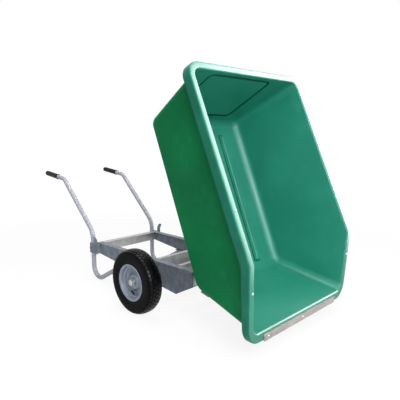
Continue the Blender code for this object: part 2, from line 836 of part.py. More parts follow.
def grow_edge(bm, frames, step):
    """Extrudes the open edge; step turns each point's two directions and its place into its shift."""
    edges = [e for e in bm.edges if e.is_boundary]
    grown = bmesh.ops.extrude_edge_only(bm, edges=edges)["geom"]
    new = [v for v in grown if isinstance(v, bmesh.types.BMVert)]
    carried = {}
    for vert in new:
        source = min(frames, key=lambda old: (old.co - vert.co).length)
        carried[vert] = frames[source]
    for vert, (out, normal) in carried.items():
        vert.co += step(out, normal, vert.co)
    return carried


def tub_ribs():
    """The two raised ribs along the floor, over the hinges, as bars that sink halfway into it."""
    made = []
    low = FLOOR_Z + TUB_WALL / 2
    high = FLOOR_Z + TUB_WALL + RIB_H
    for side in (-1, 1):
        rib = box(
            f"rib_{side_name(side)}",
            (FLOOR_REAR + RIB_REAR_IN, side * HINGE_Y - RIB_W / 2, low),
            (FLOOR_FRONT - RIB_FRONT_IN, side * HINGE_Y + RIB_W / 2, high),
        )
        bm = bmesh.new()
        bm.from_mesh(rib.data)
        for vert in bm.verts:
            if vert.co.z < high - RUN:
                vert.co.x += math.copysign(RIB_END_SLOPE, vert.co.x - FLOOR_REAR - FLOOR_LENGTH / 2)
                vert.co.y += math.copysign(RIB_SPREAD, vert.co.y - side * HINGE_Y)
        upper = [e for e in bm.edges if min(v.co.z for v in e.verts) > high - RUN]
        bmesh.ops.bevel(
            bm, geom=upper, offset=RIB_H / 4, offset_type="OFFSET", segments=2, profile=0.5,
            affect="EDGES", clamp_overlap=True, material=-1,
        )
        bm.to_mesh(rib.data)
        bm.free()
        made.append(rib)
    return group("tub_ribs", made)


def make_tub_shell():
    bm = bmesh.new()
    tub_cage(bm)
    frames = rim_frames(bm)
    inner_edge = [e for e in bm.edges if e.is_boundary]
    frames = grow_edge(bm, frames, lambda out, normal, place: out * flange_width(out))
    outer_edge = [e for e in bm.edges if e.is_boundary]
    grow_edge(bm, frames, lambda out, normal, place: -normal * skirt_height(place))
    bmesh.ops.bevel(
        bm, geom=inner_edge + outer_edge, offset=RIM_ROUND, offset_type="OFFSET", segments=2, profile=0.5,
        affect="EDGES", clamp_overlap=True, material=-1,
    )
    bmesh.ops.recalc_face_normals(bm, faces=bm.faces)
    floor = min(bm.faces, key=lambda f: f.calc_center_median().z)
    if floor.normal.z < 0:
        bmesh.ops.reverse_faces(bm, faces=bm.faces)
    mesh = bpy.data.meshes.new("tub_shell")
    bm.to_mesh(mesh)
    bm.free()
    shell = bpy.data.objects.new("tub_shell", mesh)
    bpy.context.scene.collection.objects.link(shell)
    wall = shell.modifiers.new("wall", "SOLIDIFY")
    wall.thickness = TUB_WALL
    wall.offset = -1
    wall.use_even_offset = True
    shell = as_mesh(shell)
    combine(shell, tub_ribs(), "UNION")
    for name, radius, places, length in tub_hole_sets():
        combine(shell, holes(name, radius, places, length), "DIFFERENCE")
    shell = as_mesh(shell)
    shell.data.transform(TIPPED)
    return keep(shell, GREEN)


def bar_frame():
    """The cross bar's own frame: x along the ramp, z out of it, at the corner of floor and ramp."""
    ramp = ramp_direction()
    lean = Matrix.Rotation(-math.atan2(ramp.z, ramp.x), 4, "Y")
    corner = Vector((FLOOR_FRONT, 0, FLOOR_Z + TUB_WALL))
    return Matrix.Translation(corner) @ lean


def bar_top():
    """Height of the bar's upper face in its own frame: just under the ramp's outer face."""
    return -TUB_WALL - GAP


def bar_bolt_places():
    """Bolt axes through ramp and bar, with the heads inside the tub."""
    along = BAR_START + BAR_W * 0.75
    return [bar_frame() @ Matrix.Translation((along, y, GAP)) for y in (-BAR_BOLT_Y, BAR_BOLT_Y)]


def clevis_bolt_places(side):
    """Blind bolts up into the ribs, with the heads under the clevis base."""
    under = FLOOR_Z - GAP - BASE_T - GAP
    head_down = Matrix.Rotation(math.pi, 4, "X")
    across = [side * HINGE_Y + shift for shift in (-CLEVIS_BOLT_OUT, CLEVIS_BOLT_OUT)]
    return [Matrix.Translation((CLEVIS_BOLT_X, y, under)) @ head_down for y in across]


def strip_frame():
    """The lip strip's own frame: x down the cut front, z out of the rim's top face, at the lip's edge."""
    along = cut_direction()
    lean = Matrix.Rotation(-math.atan2(along.z, along.x), 4, "Y")
    return Matrix.Translation((LIP_X, 0, FLOOR_Z + LIP_H)) @ lean


def strip_bolt_places():
    lift = GAP + STRIP_T + GAP
    across = (-STRIP_BOLT_Y, 0, STRIP_BOLT_Y)
    middle = STRIP_OUT - STRIP_W / 2
    return [strip_frame() @ Matrix.Translation((middle, y, lift)) for y in across]


def tub_hole_sets():
    """The holes through the tub, as name, radius, places and length."""
    reach = 6 * TUB_WALL
    sets = [
        ("bar_bolt_holes", HINGE_BOLT_R + RUN, bar_bolt_places(), reach),
        ("strip_bolt_holes", SMALL_BOLT_R + RUN, strip_bolt_places(), reach),
    ]
    depth = 2 * (GAP + BASE_T + GAP + TUB_WALL + RIB_H * 0.6)
    for side in (-1, 1):
        name = f"rib_bolt_holes_{side_name(side)}"
        sets.append((name, HINGE_BOLT_R + RUN, clevis_bolt_places(side), depth))
    return sets


def make_clevis(side):
    name = f"hinge_clevis_{side_name(side)}"
    top = FLOOR_Z - GAP
    middle = side * HINGE_Y
    low = (-CLEVIS_REAR, middle - CLEVIS_HALF, top - BASE_T)
    high = (CLEVIS_FRONT, middle + CLEVIS_HALF, top)
    clevis = box(name, low, high)
    eye = arc((0, 0), LUG_R, math.pi, 2 * math.pi, 8)
    outline = [(CLEVIS_FRONT, top - BASE_T / 2), (EAR_REAR, top - BASE_T / 2)] + eye
    start = LUG_T / 2 + RUN
    for lean in (-1, 1):
        faces = sorted((middle + lean * start, middle + lean * (start + EAR_T)))
        combine(clevis, slab(f"{name}_ear", outline, *faces), "UNION")
    at_pin = Matrix.Translation((0, middle, 0)) @ outward(side)
    combine(clevis, rod(f"{name}_pin_hole", PIN_R + RUN, -3 * LUG_T, 3 * LUG_T, at_pin, 24), "DIFFERENCE")
    cutter = holes(f"{name}_bolt_holes", HINGE_BOLT_R + RUN, clevis_bolt_places(side), 6 * BASE_T)
    combine(clevis, cutter, "DIFFERENCE")
    clevis = as_mesh(clevis)
    clevis.data.transform(TIPPED)
    return keep(clevis, GALVANISED, smooth=False)


def make_clevis_bolts():
    length = GAP + BASE_T + GAP + TUB_WALL + RIB_H * 0.5
    profile = bolt_profile(HINGE_BOLT_R, length, nut=0)
    places = [TIPPED @ placed for side in (-1, 1) for placed in clevis_bolt_places(side)]
    return bolts("clevis_bolt", profile, places)


def make_cross_bar():
    low = (BAR_START, -BAR_HALF, bar_top() - BAR_T)
    high = (BAR_START + BAR_W, BAR_HALF, bar_top())
    bar = box("tub_cross_bar", low, high)
    bar.data.transform(bar_frame())
    combine(bar, holes("cross_bar_holes", HINGE_BOLT_R + RUN, bar_bolt_places(), 8 * BAR_T), "DIFFERENCE")
    bar = as_mesh(bar)
    bar.data.transform(TIPPED)
    return keep(bar, GALVANISED, smooth=False)


def make_cross_bar_bolts():
    length = GAP + TUB_WALL + GAP + BAR_T + GAP
    profile = bolt_profile(HINGE_BOLT_R, length)
    return bolts("cross_bar_bolt", profile, [TIPPED @ placed for placed in bar_bolt_places()])


def make_lip_strip():
    low = (STRIP_OUT - STRIP_W, -STRIP_HALF, GAP)
    strip = box("lip_strip", low, (STRIP_OUT, STRIP_HALF, GAP + STRIP_T))
    strip.data.transform(strip_frame())
    cutter = holes("lip_strip_holes", SMALL_BOLT_R + RUN, strip_bolt_places(), 8 * STRIP_T)
    combine(strip, cutter, "DIFFERENCE")
    strip = as_mesh(strip)
    strip.data.transform(TIPPED)
    return keep(strip, STRIP, smooth=False)


def make_lip_bolts():
    profile = bolt_profile(SMALL_BOLT_R, GAP + STRIP_T + GAP + TUB_WALL + GAP)
    return bolts("lip_strip_bolt", profile, [TIPPED @ placed for placed in strip_bolt_places()])


# Wheels
def tyre_profile():
    """Half the tyre's section, mirrored across its middle: an open-backed ring from bead to bead."""
    half = TYRE_W / 2
    bead = RIM_HALF - RIM_WALL
    outer = [
        (BEAD_R + GAP, bead - BEAD_W),
        (BEAD_R + GAP, bead),
        (RIM_FLANGE_R + RIM_WALL / 2 + RUN, RIM_HALF + 2 * RUN),
        (WHEEL_R * 0.75, half),
        (WHEEL_R * 0.89, half),
        (WHEEL_R * 0.955, half * 0.92),
        (WHEEL_R * 0.985, half * 0.76),
        (WHEEL_R * 0.997, half * 0.42),
        (WHEEL_R, 0),
    ]
    inner = [
        (WHEEL_R - TYRE_WALL, 0),
        (WHEEL_R - 1.3 * TYRE_WALL, half * 0.62),
        (WHEEL_R * 0.75, half - 0.7 * TYRE_WALL),
        (RIM_FLANGE_R + RIM_WALL, bead - 0.85 * BEAD_W),
    ]
    down = outer + [(r, -z) for r, z in reversed(outer[:-1])]
    back = [(r, -z) for r, z in reversed(inner)] + inner[1:]
    return down + back


def rim_profile():
    """The pressed rim: a well between two flanges, and the dished disc welded in it."""
    disc_out = RIM_HALF - DISC_SET
    dish_out = disc_out - DISH_STEP
    deep_out = disc_out - DISH_DEPTH
    inside = WELL_R - RIM_WALL
    hub = HUB_R + GAP
    outer = [
        (RIM_FLANGE_R - RIM_WALL / 2, RIM_HALF + RIM_WALL),
        (RIM_FLANGE_R, RIM_HALF + RIM_WALL / 2),
        (RIM_FLANGE_R - RIM_WALL / 2, RIM_HALF),
        (BEAD_R, RIM_HALF - RIM_WALL),
        (BEAD_R, WELL_HALF + WELL_SLOPE),
        (WELL_R, WELL_HALF),
    ]
    down = outer + [(r, -z) for r, z in reversed(outer)]
    flange_in = [
        (BEAD_R - RIM_WALL, RIM_HALF - RIM_WALL / 2),
        (BEAD_R - RIM_WALL, WELL_HALF + WELL_SLOPE),
        (inside, WELL_HALF),
    ]
    up = [(r, -z) for r, z in flange_in]
    up += [
        (inside, -DISC_T),
        (hub + DISH_FLAT + DISH_SLOPE - DISC_T / 2, deep_out - DISC_T),
        (hub + DISH_FLAT - DISC_T / 2, dish_out - DISC_T),
        (hub, dish_out - DISC_T),
        (hub, dish_out),
        (hub + DISH_FLAT, dish_out),
        (hub + DISH_FLAT + DISH_SLOPE, deep_out),
        (inside, 0.0),
    ]
    up += list(reversed(flange_in))
    return down + up


def make_wheel(side):
    """One wheel about its own joint: tyre, rim, hub and valve."""
    tag = side_name(side)
    joint = joint_empty(f"wheel_joint_{tag}", (0, side * TRACK_HALF, AXLE_Z))
    placed = joint.matrix_world @ outward(side)
    tyre = keep(turned(f"tyre_{tag}", tyre_profile(), 48, placed), RUBBER)
    rim = turned(f"rim_{tag}", rim_profile(), 40, placed)
    half = HUB_LENGTH / 2
    bore = STUB_R + RUN
    hub_outline = [(bore, half), (HUB_R, half), (HUB_R, -half), (bore, -half)]
    hub = keep(turned(f"hub_{tag}", hub_outline, 24, placed), RIM_GREY)
    spoke = Matrix.Rotation(VALVE_ANGLE if side < 0 else math.pi - VALVE_ANGLE, 4, "Z")
    inside = WELL_R - RIM_WALL - GAP
    lean = Matrix.Rotation(-VALVE_LEAN, 4, "Y")
    foot = placed @ spoke @ Matrix.Translation((inside, 0, VALVE_SET)) @ lean
    valve = rod(f"valve_{tag}", VALVE_R, VALVE_FOOT, VALVE_FOOT + VALVE_LENGTH, foot, 10)
    keep(valve, RUBBER)
    low = (-SLOT_LONG / 2, -SLOT_WIDE / 2, -RIM_HALF)
    high = (SLOT_LONG / 2, SLOT_WIDE / 2, RIM_HALF)
    slot = box(f"rim_{tag}_slot", low, high)
    slot.matrix_world = placed @ spoke @ Matrix.Translation((SLOT_MID_R, 0, 0))
    combine(rim, as_mesh(slot), "DIFFERENCE")
    keep(rim, RIM_GREY)
    for piece in (tyre, rim, hub, valve):
        hang_on(piece, joint)


def centre_on_origin():
    """Moves everything so that the origin lies on the ground under the middle of the box."""
    bpy.context.view_layer.update()
    graph = bpy.context.evaluated_depsgraph_get()
    lows = []
    highs = []
    for item in PARTS.objects:
        if item.type != "MESH":
            continue
        mesh = item.evaluated_get(graph).to_mesh()
        spots = [(item.matrix_world @ v.co).x for v in mesh.vertices]
        lows.append(min(spots))
        highs.append(max(spots))
        item.evaluated_get(graph).to_mesh_clear()
    shift = Matrix.Translation((-(min(lows) + max(highs)) / 2, 0, 0))
    for item in list(PARTS.objects) + list(CUTTERS.objects):
        if item.parent is None:
            item.matrix_world = shift @ item.matrix_world
    print("forward place of the axle:", round(shift.translation.x, 6))


def main():
    for side in (-1, 1):
        make_rail(side)
        make_axle_plate(side)
        make_axle_cap(side)
        make_handle(side)
        make_grip(side)
        make_clamp_plate(side)
        make_clamp_spacer(side)
        make_clamp_bolts(side)
        make_stay_pad(side)
        make_hinge_bracket(side)
        make_hinge_pin(side)
        make_wheel(side)
    make_member("rear_member", FRAME_REAR + ANGLE_T, 1, ANGLE_W, REAR_LOW)
    make_member("middle_member_rear", MID_REAR_X, -1, MEMBER_W)
    make_member("middle_member_front", MID_FRONT_X, -1, MEMBER_W)
    make_front_member()
    make_axle()
    joint = joint_empty("tub_joint", (PIN_X, 0, PIN_Z))
    tub = [make_tub_shell(), make_clevis(-1), make_clevis(1), make_cross_bar(), make_lip_strip()]
    for piece in tub + make_clevis_bolts() + make_cross_bar_bolts() + make_lip_bolts():
        hang_on(piece, joint)
    centre_on_origin()


main()
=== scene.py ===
"""The looks of the tipping wheelbarrow, built over its CAD pieces in the same place.

Metres, +X forward, +Y left, +Z up. The camera stands at the photograph's viewpoint.
"""
import json
import math

import bmesh
import bpy
from mathutils import Matrix, Vector

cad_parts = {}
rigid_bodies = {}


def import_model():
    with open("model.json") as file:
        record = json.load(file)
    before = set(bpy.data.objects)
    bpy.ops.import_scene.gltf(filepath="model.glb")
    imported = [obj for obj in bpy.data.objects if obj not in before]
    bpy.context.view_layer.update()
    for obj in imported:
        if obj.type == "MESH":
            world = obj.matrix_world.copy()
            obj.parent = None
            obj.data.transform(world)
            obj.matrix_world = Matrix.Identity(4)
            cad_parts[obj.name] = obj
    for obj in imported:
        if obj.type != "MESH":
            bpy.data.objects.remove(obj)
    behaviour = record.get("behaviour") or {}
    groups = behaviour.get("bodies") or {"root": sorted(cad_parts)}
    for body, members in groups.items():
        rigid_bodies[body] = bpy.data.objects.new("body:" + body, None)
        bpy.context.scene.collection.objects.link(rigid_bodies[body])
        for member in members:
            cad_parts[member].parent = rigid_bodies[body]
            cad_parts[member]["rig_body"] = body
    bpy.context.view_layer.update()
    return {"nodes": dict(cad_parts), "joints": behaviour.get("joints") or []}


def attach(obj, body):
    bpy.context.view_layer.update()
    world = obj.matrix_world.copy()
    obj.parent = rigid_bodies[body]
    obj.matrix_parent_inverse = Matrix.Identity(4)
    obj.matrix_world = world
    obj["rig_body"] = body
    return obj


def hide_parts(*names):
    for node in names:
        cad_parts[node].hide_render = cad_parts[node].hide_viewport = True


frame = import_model()


def joint_place(name):
    """A joint's place in the frame."""
    joint = next(j for j in frame["joints"] if j["name"] == name)
    return Vector(joint["pos_m"])


# Where things turn
AXLE_X = joint_place("wheel_left_spin").x
PIN = joint_place("tub_tip")
TIP_ANGLE = math.radians(67.8)
TIPPED = Matrix.Translation(PIN) @ Matrix.Rotation(TIP_ANGLE, 4, "Y")

# Tub, in its own frame: forward and up from the hinge pin while it lies on the chassis
TUB_WALL = 0.0045
FLOOR_Z = 0.0605
FLOOR_REAR = -0.997
FLOOR_FRONT = 0.009
FLOOR_HALF = 0.385
RIM_Z = 0.5695
RIM_SLOPE = math.radians(1.4)
RIM_REAR = -1.0945
RIM_HALF_WIDTH = 0.499
FLANGE = 0.040
LIP_FLANGE = 0.051
SKIRT = 0.052
LIP_SKIRT = 0.038
CUT_START = -0.0547
LIP_X = 0.3217
LIP_H = 0.3602
TUB_ROUND = 0.048
RIM_ROUND = 0.010
PANEL_Y = (-0.300, 0.240)
PANEL_RISE = (0.075, 0.480)
PANEL_ROUND = 0.045
PANEL_STEPS = 32
PANEL_RETURN = 0.6
GROOVE_W = 0.018
GROOVE_DEPTH = 0.0060
GROOVE_EDGE = 0.0014
RIB_Y = 0.205
RIB_W = 0.036
RIB_H = 0.022
RIB_SPREAD = 0.006
RIB_REAR = -0.890
RIB_FRONT = -0.038
RIB_FOOT = 0.004
RIB_CORNER = 0.012
RIB_ROUND = 0.0045
SIDE_BOLT_X = -0.320
SIDE_BOLT_Y = 0.478
CUT_BOLT_ALONG = 0.1395
CUT_BOLT_Y = 0.468
DOME_R = 0.0068
STRIP_CORNER = 0.009
STRIP_EDGE = 0.0007
CAP_SINK = 0.0036

# Chassis and handles, from the axle's ground point
FRAME_REAR = -0.720
REAR_LOW = 0.205
RAIL_DEEP_X = 0.160
RAIL_DEEP_Z = 0.110
RAIL_FALL = (REAR_LOW - RAIL_DEEP_Z) / (RAIL_DEEP_X - FRAME_REAR)
HANDLE_Y = 0.285
HANDLE_X = -0.764
GRIP_BEND = (-1.165, 0.727)
GRIP_RUN = 0.284
GRIP_RISE = math.radians(6.0)
GRIP_LENGTH = 0.190
GRIP_R = 0.020
GRIP_STEPS = 60
GRIP_RIB_H = 0.0012
SLOPE = math.radians(43.2)
TUBE_R = 0.01685
RUN_STEPS = 8
TOP_BEND_R = 0.080
KNEE_R = 0.120
GROUND_BEND_R = 0.0765
STAY_ANGLE = math.radians(29.3)
PAD_T = 0.006
PAD_GAP = 0.0006
TAB_CORNER = 0.010
EDGE_ROUND = 0.0009
BOLT_EDGE = 0.0004

# Wheels
WHEEL_R = 0.200
HUB_R = 0.026
HUB_BORE = 0.0130
HUB_HALF = 0.034
TRACK_HALF = 0.463
SLOT_ANGLE = math.radians(-95)
SLOT_R = (0.050, 0.078)
RIM_STEPS = 96
SLOT_STEPS = 2
RIM_T = 0.0040
VALVE_EDGE = 0.0012
TREAD_HALF = 0.0425
TREAD_ROWS = (-TREAD_HALF, -0.031, -0.0285, -0.0125, -0.0105, 0.0105, 0.0125, 0.0285, 0.031, TREAD_HALF)
TREAD_SHIFTS = {1: 0, 3: 2, 5: 0, 7: 2, 9: 0}
TREAD_STEPS = 192
TREAD_PITCH = 4
TREAD_DEPTH = 0.0035
SHOULDER = 0.030
SHOULDER_DEPTH = 0.75
CROWN_DROP = 0.0095
CROWN_CURVE = 2.6

# Camera and lamps
PICTURE_PIXELS = 400
FOCAL_PIXELS = 431.8
SENSOR_WIDTH = 36.0
CAMERA_PLACE = Vector((AXLE_X + 2.0456, -1.9983, 1.0914))
CAMERA_AZIMUTH = math.radians(44.39)
CAMERA_ELEVATION = math.radians(8.80)
MIDDLE = Vector((AXLE_X + 0.55, 0.0, 0.75))
LAMP_DISTANCE = 4.5
OVERHEAD_Z = 4.6
FLOOR_R = 30.0


# Materials
def linear(hex_colour):
    """An sRGB hex colour as the linear colour that the shaders take."""
    channels = [int(hex_colour[i : i + 2], 16) / 255 for i in (1, 3, 5)]
    return (*[c / 12.92 if c <= 0.04045 else ((c + 0.055) / 1.055) ** 2.4 for c in channels], 1.0)


def add(tree, kind, inputs, **settings):
    """Adds a node with its settings; inputs gives each socket a value or another node's output."""
    node = tree.nodes.new("ShaderNode" + kind)
    for name, value in settings.items():
        setattr(node, name, value)
    for key, value in inputs.items():
        if isinstance(value, bpy.types.NodeSocket):
            tree.links.new(value, node.inputs[key])
        else:
            node.inputs[key].default_value = value
    return node


def begin(name, sockets):
    """A new material with its constants on the shader's own sockets."""
    made = bpy.data.materials.new(name)
    made.use_nodes = True
    tree = made.node_tree
    shader = tree.nodes["Principled BSDF"]
    for key, value in sockets.items():
        shader.inputs[key].default_value = value
    place = add(tree, "TexCoord", {}).outputs["Object"]
    return made, tree, shader.inputs, place


SOFT = {"interpolation_type": "SMOOTHSTEP"}
COLOURS = {"data_type": "RGBA"}


def moulded_polyethylene(name, deep, light, level, roughness):
    """Rotomoulded green polyethylene: a waxy sheen, a fine orange-peel grain and slow waves."""
    made, tree, shader, place = begin(name, {"IOR": 1.51, "Specular IOR Level": level})
    waves = add(tree, "TexNoise", {"Vector": place, "Scale": 3.0, "Detail": 2.0}).outputs[0]
    patches = add(tree, "TexNoise", {"Vector": place, "Scale": 13.0, "Detail": 4.0}).outputs[0]
    share = add(tree, "MapRange", {"Value": waves, "From Min": 0.35, "From Max": 0.65}, **SOFT)
    plain = add(tree, "Mix", {0: share.outputs[0], 6: linear(deep), 7: linear(light)}, **COLOURS)
    faint = {"Value": patches, "From Min": 0.52, "From Max": 0.75, "To Max": 0.12}
    share = add(tree, "MapRange", faint, **SOFT)
    faded = add(tree, "Mix", {0: share.outputs[0], 6: plain.outputs[2], 7: linear("#4FA583")}, **COLOURS)
    drawn = add(tree, "Mapping", {"Vector": place, "Rotation": (0.4, 0.9, 0.2), "Scale": (8, 60, 14)})
    scuffs = {"Vector": drawn.outputs[0], "Scale": 3.0, "Detail": 6.0, "Roughness": 0.7}
    scratch = add(tree, "TexNoise", scuffs)
    rubbed = {"Value": scratch.outputs[0], "From Min": 0.66, "From Max": 0.80, "To Max": 0.14}
    share = add(tree, "MapRange", rubbed, **SOFT)
    worn = add(tree, "Mix", {0: share.outputs[0], 6: faded.outputs[2], 7: linear("#7DBFA2")}, **COLOURS)
    tree.links.new(worn.outputs[2], shader["Base Color"])
    polish = {"Value": patches, "From Min": 0.30, "From Max": 0.70}
    polish |= {"To Min": roughness - 0.04, "To Max": roughness + 0.06}
    tree.links.new(add(tree, "MapRange", polish).outputs[0], shader["Roughness"])
    grain = add(tree, "TexNoise", {"Vector": place, "Scale": 420.0, "Detail": 2.0})
    slow = add(tree, "Bump", {"Height": waves, "Strength": 0.25, "Distance": 0.010})
    fine = {"Height": grain.outputs[0], "Strength": 0.10, "Distance": 0.0006, "Normal": slow.outputs[0]}
    tree.links.new(add(tree, "Bump", fine).outputs[0], shader["Normal"])
    return made


def galvanised_steel(name, dull, bright, metallic, level, roughness, relief):
    """Hot-dip galvanised steel: blue-grey zinc in clouds 10 to 40 mm wide, with faint runs down it."""
    made, tree, shader, place = begin(name, {"Metallic": metallic, "Specular IOR Level": level})
    cells = add(tree, "TexVoronoi", {"Vector": place, "Scale": 70.0, "Randomness": 1.0})
    cell_tone = add(tree, "SeparateColor", {"Color": cells.outputs["Color"]}).outputs[0]
    cloud = add(tree, "TexNoise", {"Vector": place, "Scale": 22.0, "Detail": 4.0, "Roughness": 0.6})
    drawn = add(tree, "Mapping", {"Vector": place, "Scale": (34.0, 34.0, 10.0)})
    runs = add(tree, "TexNoise", {"Vector": drawn.outputs[0], "Scale": 1.0, "Detail": 2.0})
    mixed = add(tree, "Math", {0: cloud.outputs[0], 1: runs.outputs[0]}, operation="ADD").outputs[0]
    tone = add(tree, "Math", {0: cell_tone, 1: 0.12, 2: mixed}, operation="MULTIPLY_ADD").outputs[0]
    share = add(tree, "MapRange", {"Value": tone, "From Min": 0.60, "From Max": 1.55}, **SOFT)
    zinc = add(tree, "Mix", {0: share.outputs[0], 6: linear(dull), 7: linear(bright)}, **COLOURS)
    tree.links.new(zinc.outputs[2], shader["Base Color"])
    polish = {"Value": mixed, "From Min": 0.7, "From Max": 1.3}
    polish |= {"To Min": roughness + 0.8 * relief, "To Max": roughness - 0.8 * relief}
    tree.links.new(add(tree, "MapRange", polish).outputs[0], shader["Roughness"])
    bump = add(tree, "Bump", {"Height": mixed, "Strength": relief, "Distance": 0.0012})
    tree.links.new(bump.outputs[0], shader["Normal"])
    return made


def moulded_rubber(name, deep, light, dust, level, roughness):
    """Black rubber with a fine moulded grain, a slight bloom and a little dust."""
    made, tree, shader, place = begin(name, {"IOR": 1.5, "Specular IOR Level": level})
    cloud = add(tree, "TexNoise", {"Vector": place, "Scale": 30.0, "Detail": 4.0}).outputs[0]
    black = add(tree, "Mix", {0: cloud, 6: linear(deep), 7: linear(light)}, **COLOURS)
    spots = {"Value": cloud, "From Min": 0.60, "From Max": 0.80, "To Max": dust}
    share = add(tree, "MapRange", spots, **SOFT)
    dusty = add(tree, "Mix", {0: share.outputs[0], 6: black.outputs[2], 7: linear("#4A4440")}, **COLOURS)
    tree.links.new(dusty.outputs[2], shader["Base Color"])
    polish = {"Value": cloud, "From Min": 0.3, "From Max": 0.7}
    polish |= {"To Min": roughness - 0.08, "To Max": roughness + 0.08}
    tree.links.new(add(tree, "MapRange", polish).outputs[0], shader["Roughness"])
    grain = add(tree, "TexNoise", {"Vector": place, "Scale": 600.0, "Detail": 2.0})
    bump = add(tree, "Bump", {"Height": grain.outputs[0], "Strength": 0.2, "Distance": 0.0005})
    tree.links.new(bump.outputs[0], shader["Normal"])
    return made


def silver_paint():
    """Silver-grey stoved paint on the pressed rims: a soft metallic sheen with a few dusty spots."""
    made, tree, shader, place = begin("silver_rim_paint", {"Metallic": 0.20})
    cloud = add(tree, "TexNoise", {"Vector": place, "Scale": 22.0, "Detail": 4.0}).outputs[0]
    plain = add(tree, "Mix", {0: cloud, 6: linear("#7E8794"), 7: linear("#9AA3AF")}, **COLOURS)
    spots = {"Value": cloud, "From Min": 0.62, "From Max": 0.78, "To Max": 0.4}
    share = add(tree, "MapRange", spots, **SOFT)
    dusty = add(tree, "Mix", {0: share.outputs[0], 6: plain.outputs[2], 7: linear("#7C7D7C")}, **COLOURS)
    tree.links.new(dusty.outputs[2], shader["Base Color"])
    polish = {"Value": cloud, "From Min": 0.3, "From Max": 0.7, "To Min": 0.30, "To Max": 0.44}
    tree.links.new(add(tree, "MapRange", polish).outputs[0], shader["Roughness"])
    bump = add(tree, "Bump", {"Height": cloud, "Strength": 0.12, "Distance": 0.0008})
    tree.links.new(bump.outputs[0], shader["Normal"])
    return made


def worn_strip_steel():
    """A bare steel strip, rubbed along its length, with grey-brown stains."""
    made, tree, shader, place = begin("worn_strip_steel", {"Metallic": 0.25})
    drawn = add(tree, "Mapping", {"Vector": place, "Scale": (160.0, 12.0, 160.0)})
    rub = add(tree, "TexNoise", {"Vector": drawn.outputs[0], "Scale": 1.0, "Detail": 5.0}).outputs[0]
    spots = add(tree, "TexNoise", {"Vector": place, "Scale": 26.0, "Detail": 4.0})
    steel = add(tree, "Mix", {0: rub, 6: linear("#958E8A"), 7: linear("#C6C0BC")}, **COLOURS)
    stained = {"Value": spots.outputs[0], "From Min": 0.50, "From Max": 0.70, "To Max": 0.65}
    share = add(tree, "MapRange", stained, **SOFT)
    rust = add(tree, "Mix", {0: share.outputs[0], 6: steel.outputs[2], 7: linear("#8A7A70")}, **COLOURS)
    tree.links.new(rust.outputs[2], shader["Base Color"])
    polish = {"Value": rub, "From Min": 0.3, "From Max": 0.7, "To Min": 0.35, "To Max": 0.55}
    tree.links.new(add(tree, "MapRange", polish).outputs[0], shader["Roughness"])
    bump = add(tree, "Bump", {"Height": rub, "Strength": 0.15, "Distance": 0.0005})
    tree.links.new(bump.outputs[0], shader["Normal"])
    return made


# The tub's four plastics are lit and shaded copies of one green polyethylene. The inside copy is painted a
# paler teal, as lit.
TUB_PLASTIC_LIT = moulded_polyethylene("green_polyethylene_waxy_painted_lit", "#20866F", "#288F78", 0.50, 0.36)
# The outside copy is painted a darker green, as shade.
TUB_OUTSIDE_SHADED = moulded_polyethylene("green_polyethylene_matt_painted_shade", "#107A49", "#13864F", 0.05, 0.55)
# The skirt copy is painted a dark teal, as shade.
TUB_SKIRT_SHADED = moulded_polyethylene("green_polyethylene_skirt_painted_shade", "#146E58", "#1A7A63", 0.16, 0.40)
# The groove copy is near-black green, painted into the rear panel's groove and round the ribs' foot as
# their shade.
TUB_GROOVE_SHADE = moulded_polyethylene("green_polyethylene_groove_painted_shade", "#0B4A30", "#0E5638", 0.05, 0.60)
# The three galvanised steels are lit and shaded copies of one zinc. The angle-steel copy is painted darker,
# as shade.
ANGLE_STEEL_SHADED = galvanised_steel("galvanised_angle_steel_painted_shade", "#6C7480", "#959CA8", 0.08, 0.25, 0.42, 0.08)
# The member copy is painted paler, as lit.
MEMBER_STEEL_LIT = galvanised_steel("galvanised_member_steel_painted_lit", "#A3A5A5", "#CDCDC9", 0.45, 0.50, 0.40, 0.06)
# The tube copy is painted palest, as lit.
TUBE_STEEL_LIT = galvanised_steel("galvanised_tube_steel_painted_lit", "#B9BAC6", "#C2C3CE", 0.04, 0.20, 0.40, 0.01)
ZINC = galvanised_steel("zinc_plated_fasteners", "#B5B2A8", "#DAD7CC", 0.40, 0.50, 0.34, 0.06)
TYRE = moulded_rubber("black_tyre_rubber", "#040506", "#0A0B0E", 0.03, 0.06, 0.55)
TREAD = moulded_rubber("worn_tread_rubber", "#060607", "#100F0F", 0.15, 0.16, 0.30)
GRIP = moulded_rubber("black_grip_rubber", "#050506", "#0C0C0E", 0.05, 0.16, 0.36)
RIM_PAINT = silver_paint()
STRIP_STEEL = worn_strip_steel()


# Modelling
def side_name(side):
    return "left" if side > 0 else "right"


def outward(side):
    """Turns a piece drawn along +Z so that it points away from the middle on this side."""
    return Matrix.Rotation(-side * math.pi / 2, 4, "X")


def verts_of(geometry):
    return [v for v in geometry if isinstance(v, bmesh.types.BMVert)]


def round_off(bm, edges, width, segments):
    bmesh.ops.bevel(
        bm, geom=edges, offset=width, offset_type="OFFSET", segments=segments, profile=0.5,
        affect="EDGES", clamp_overlap=True, material=-1,
    )


def folded(edges, degrees):
    """The edges between two faces that meet at more than this angle."""
    shared = [e for e in edges if len(e.link_faces) == 2]
    return [e for e in shared if e.calc_face_angle(0.0) > math.radians(degrees)]


def soften(bm, width):
    """Rounds every sharp edge."""
    round_off(bm, folded(bm.edges, 28), width, 2)


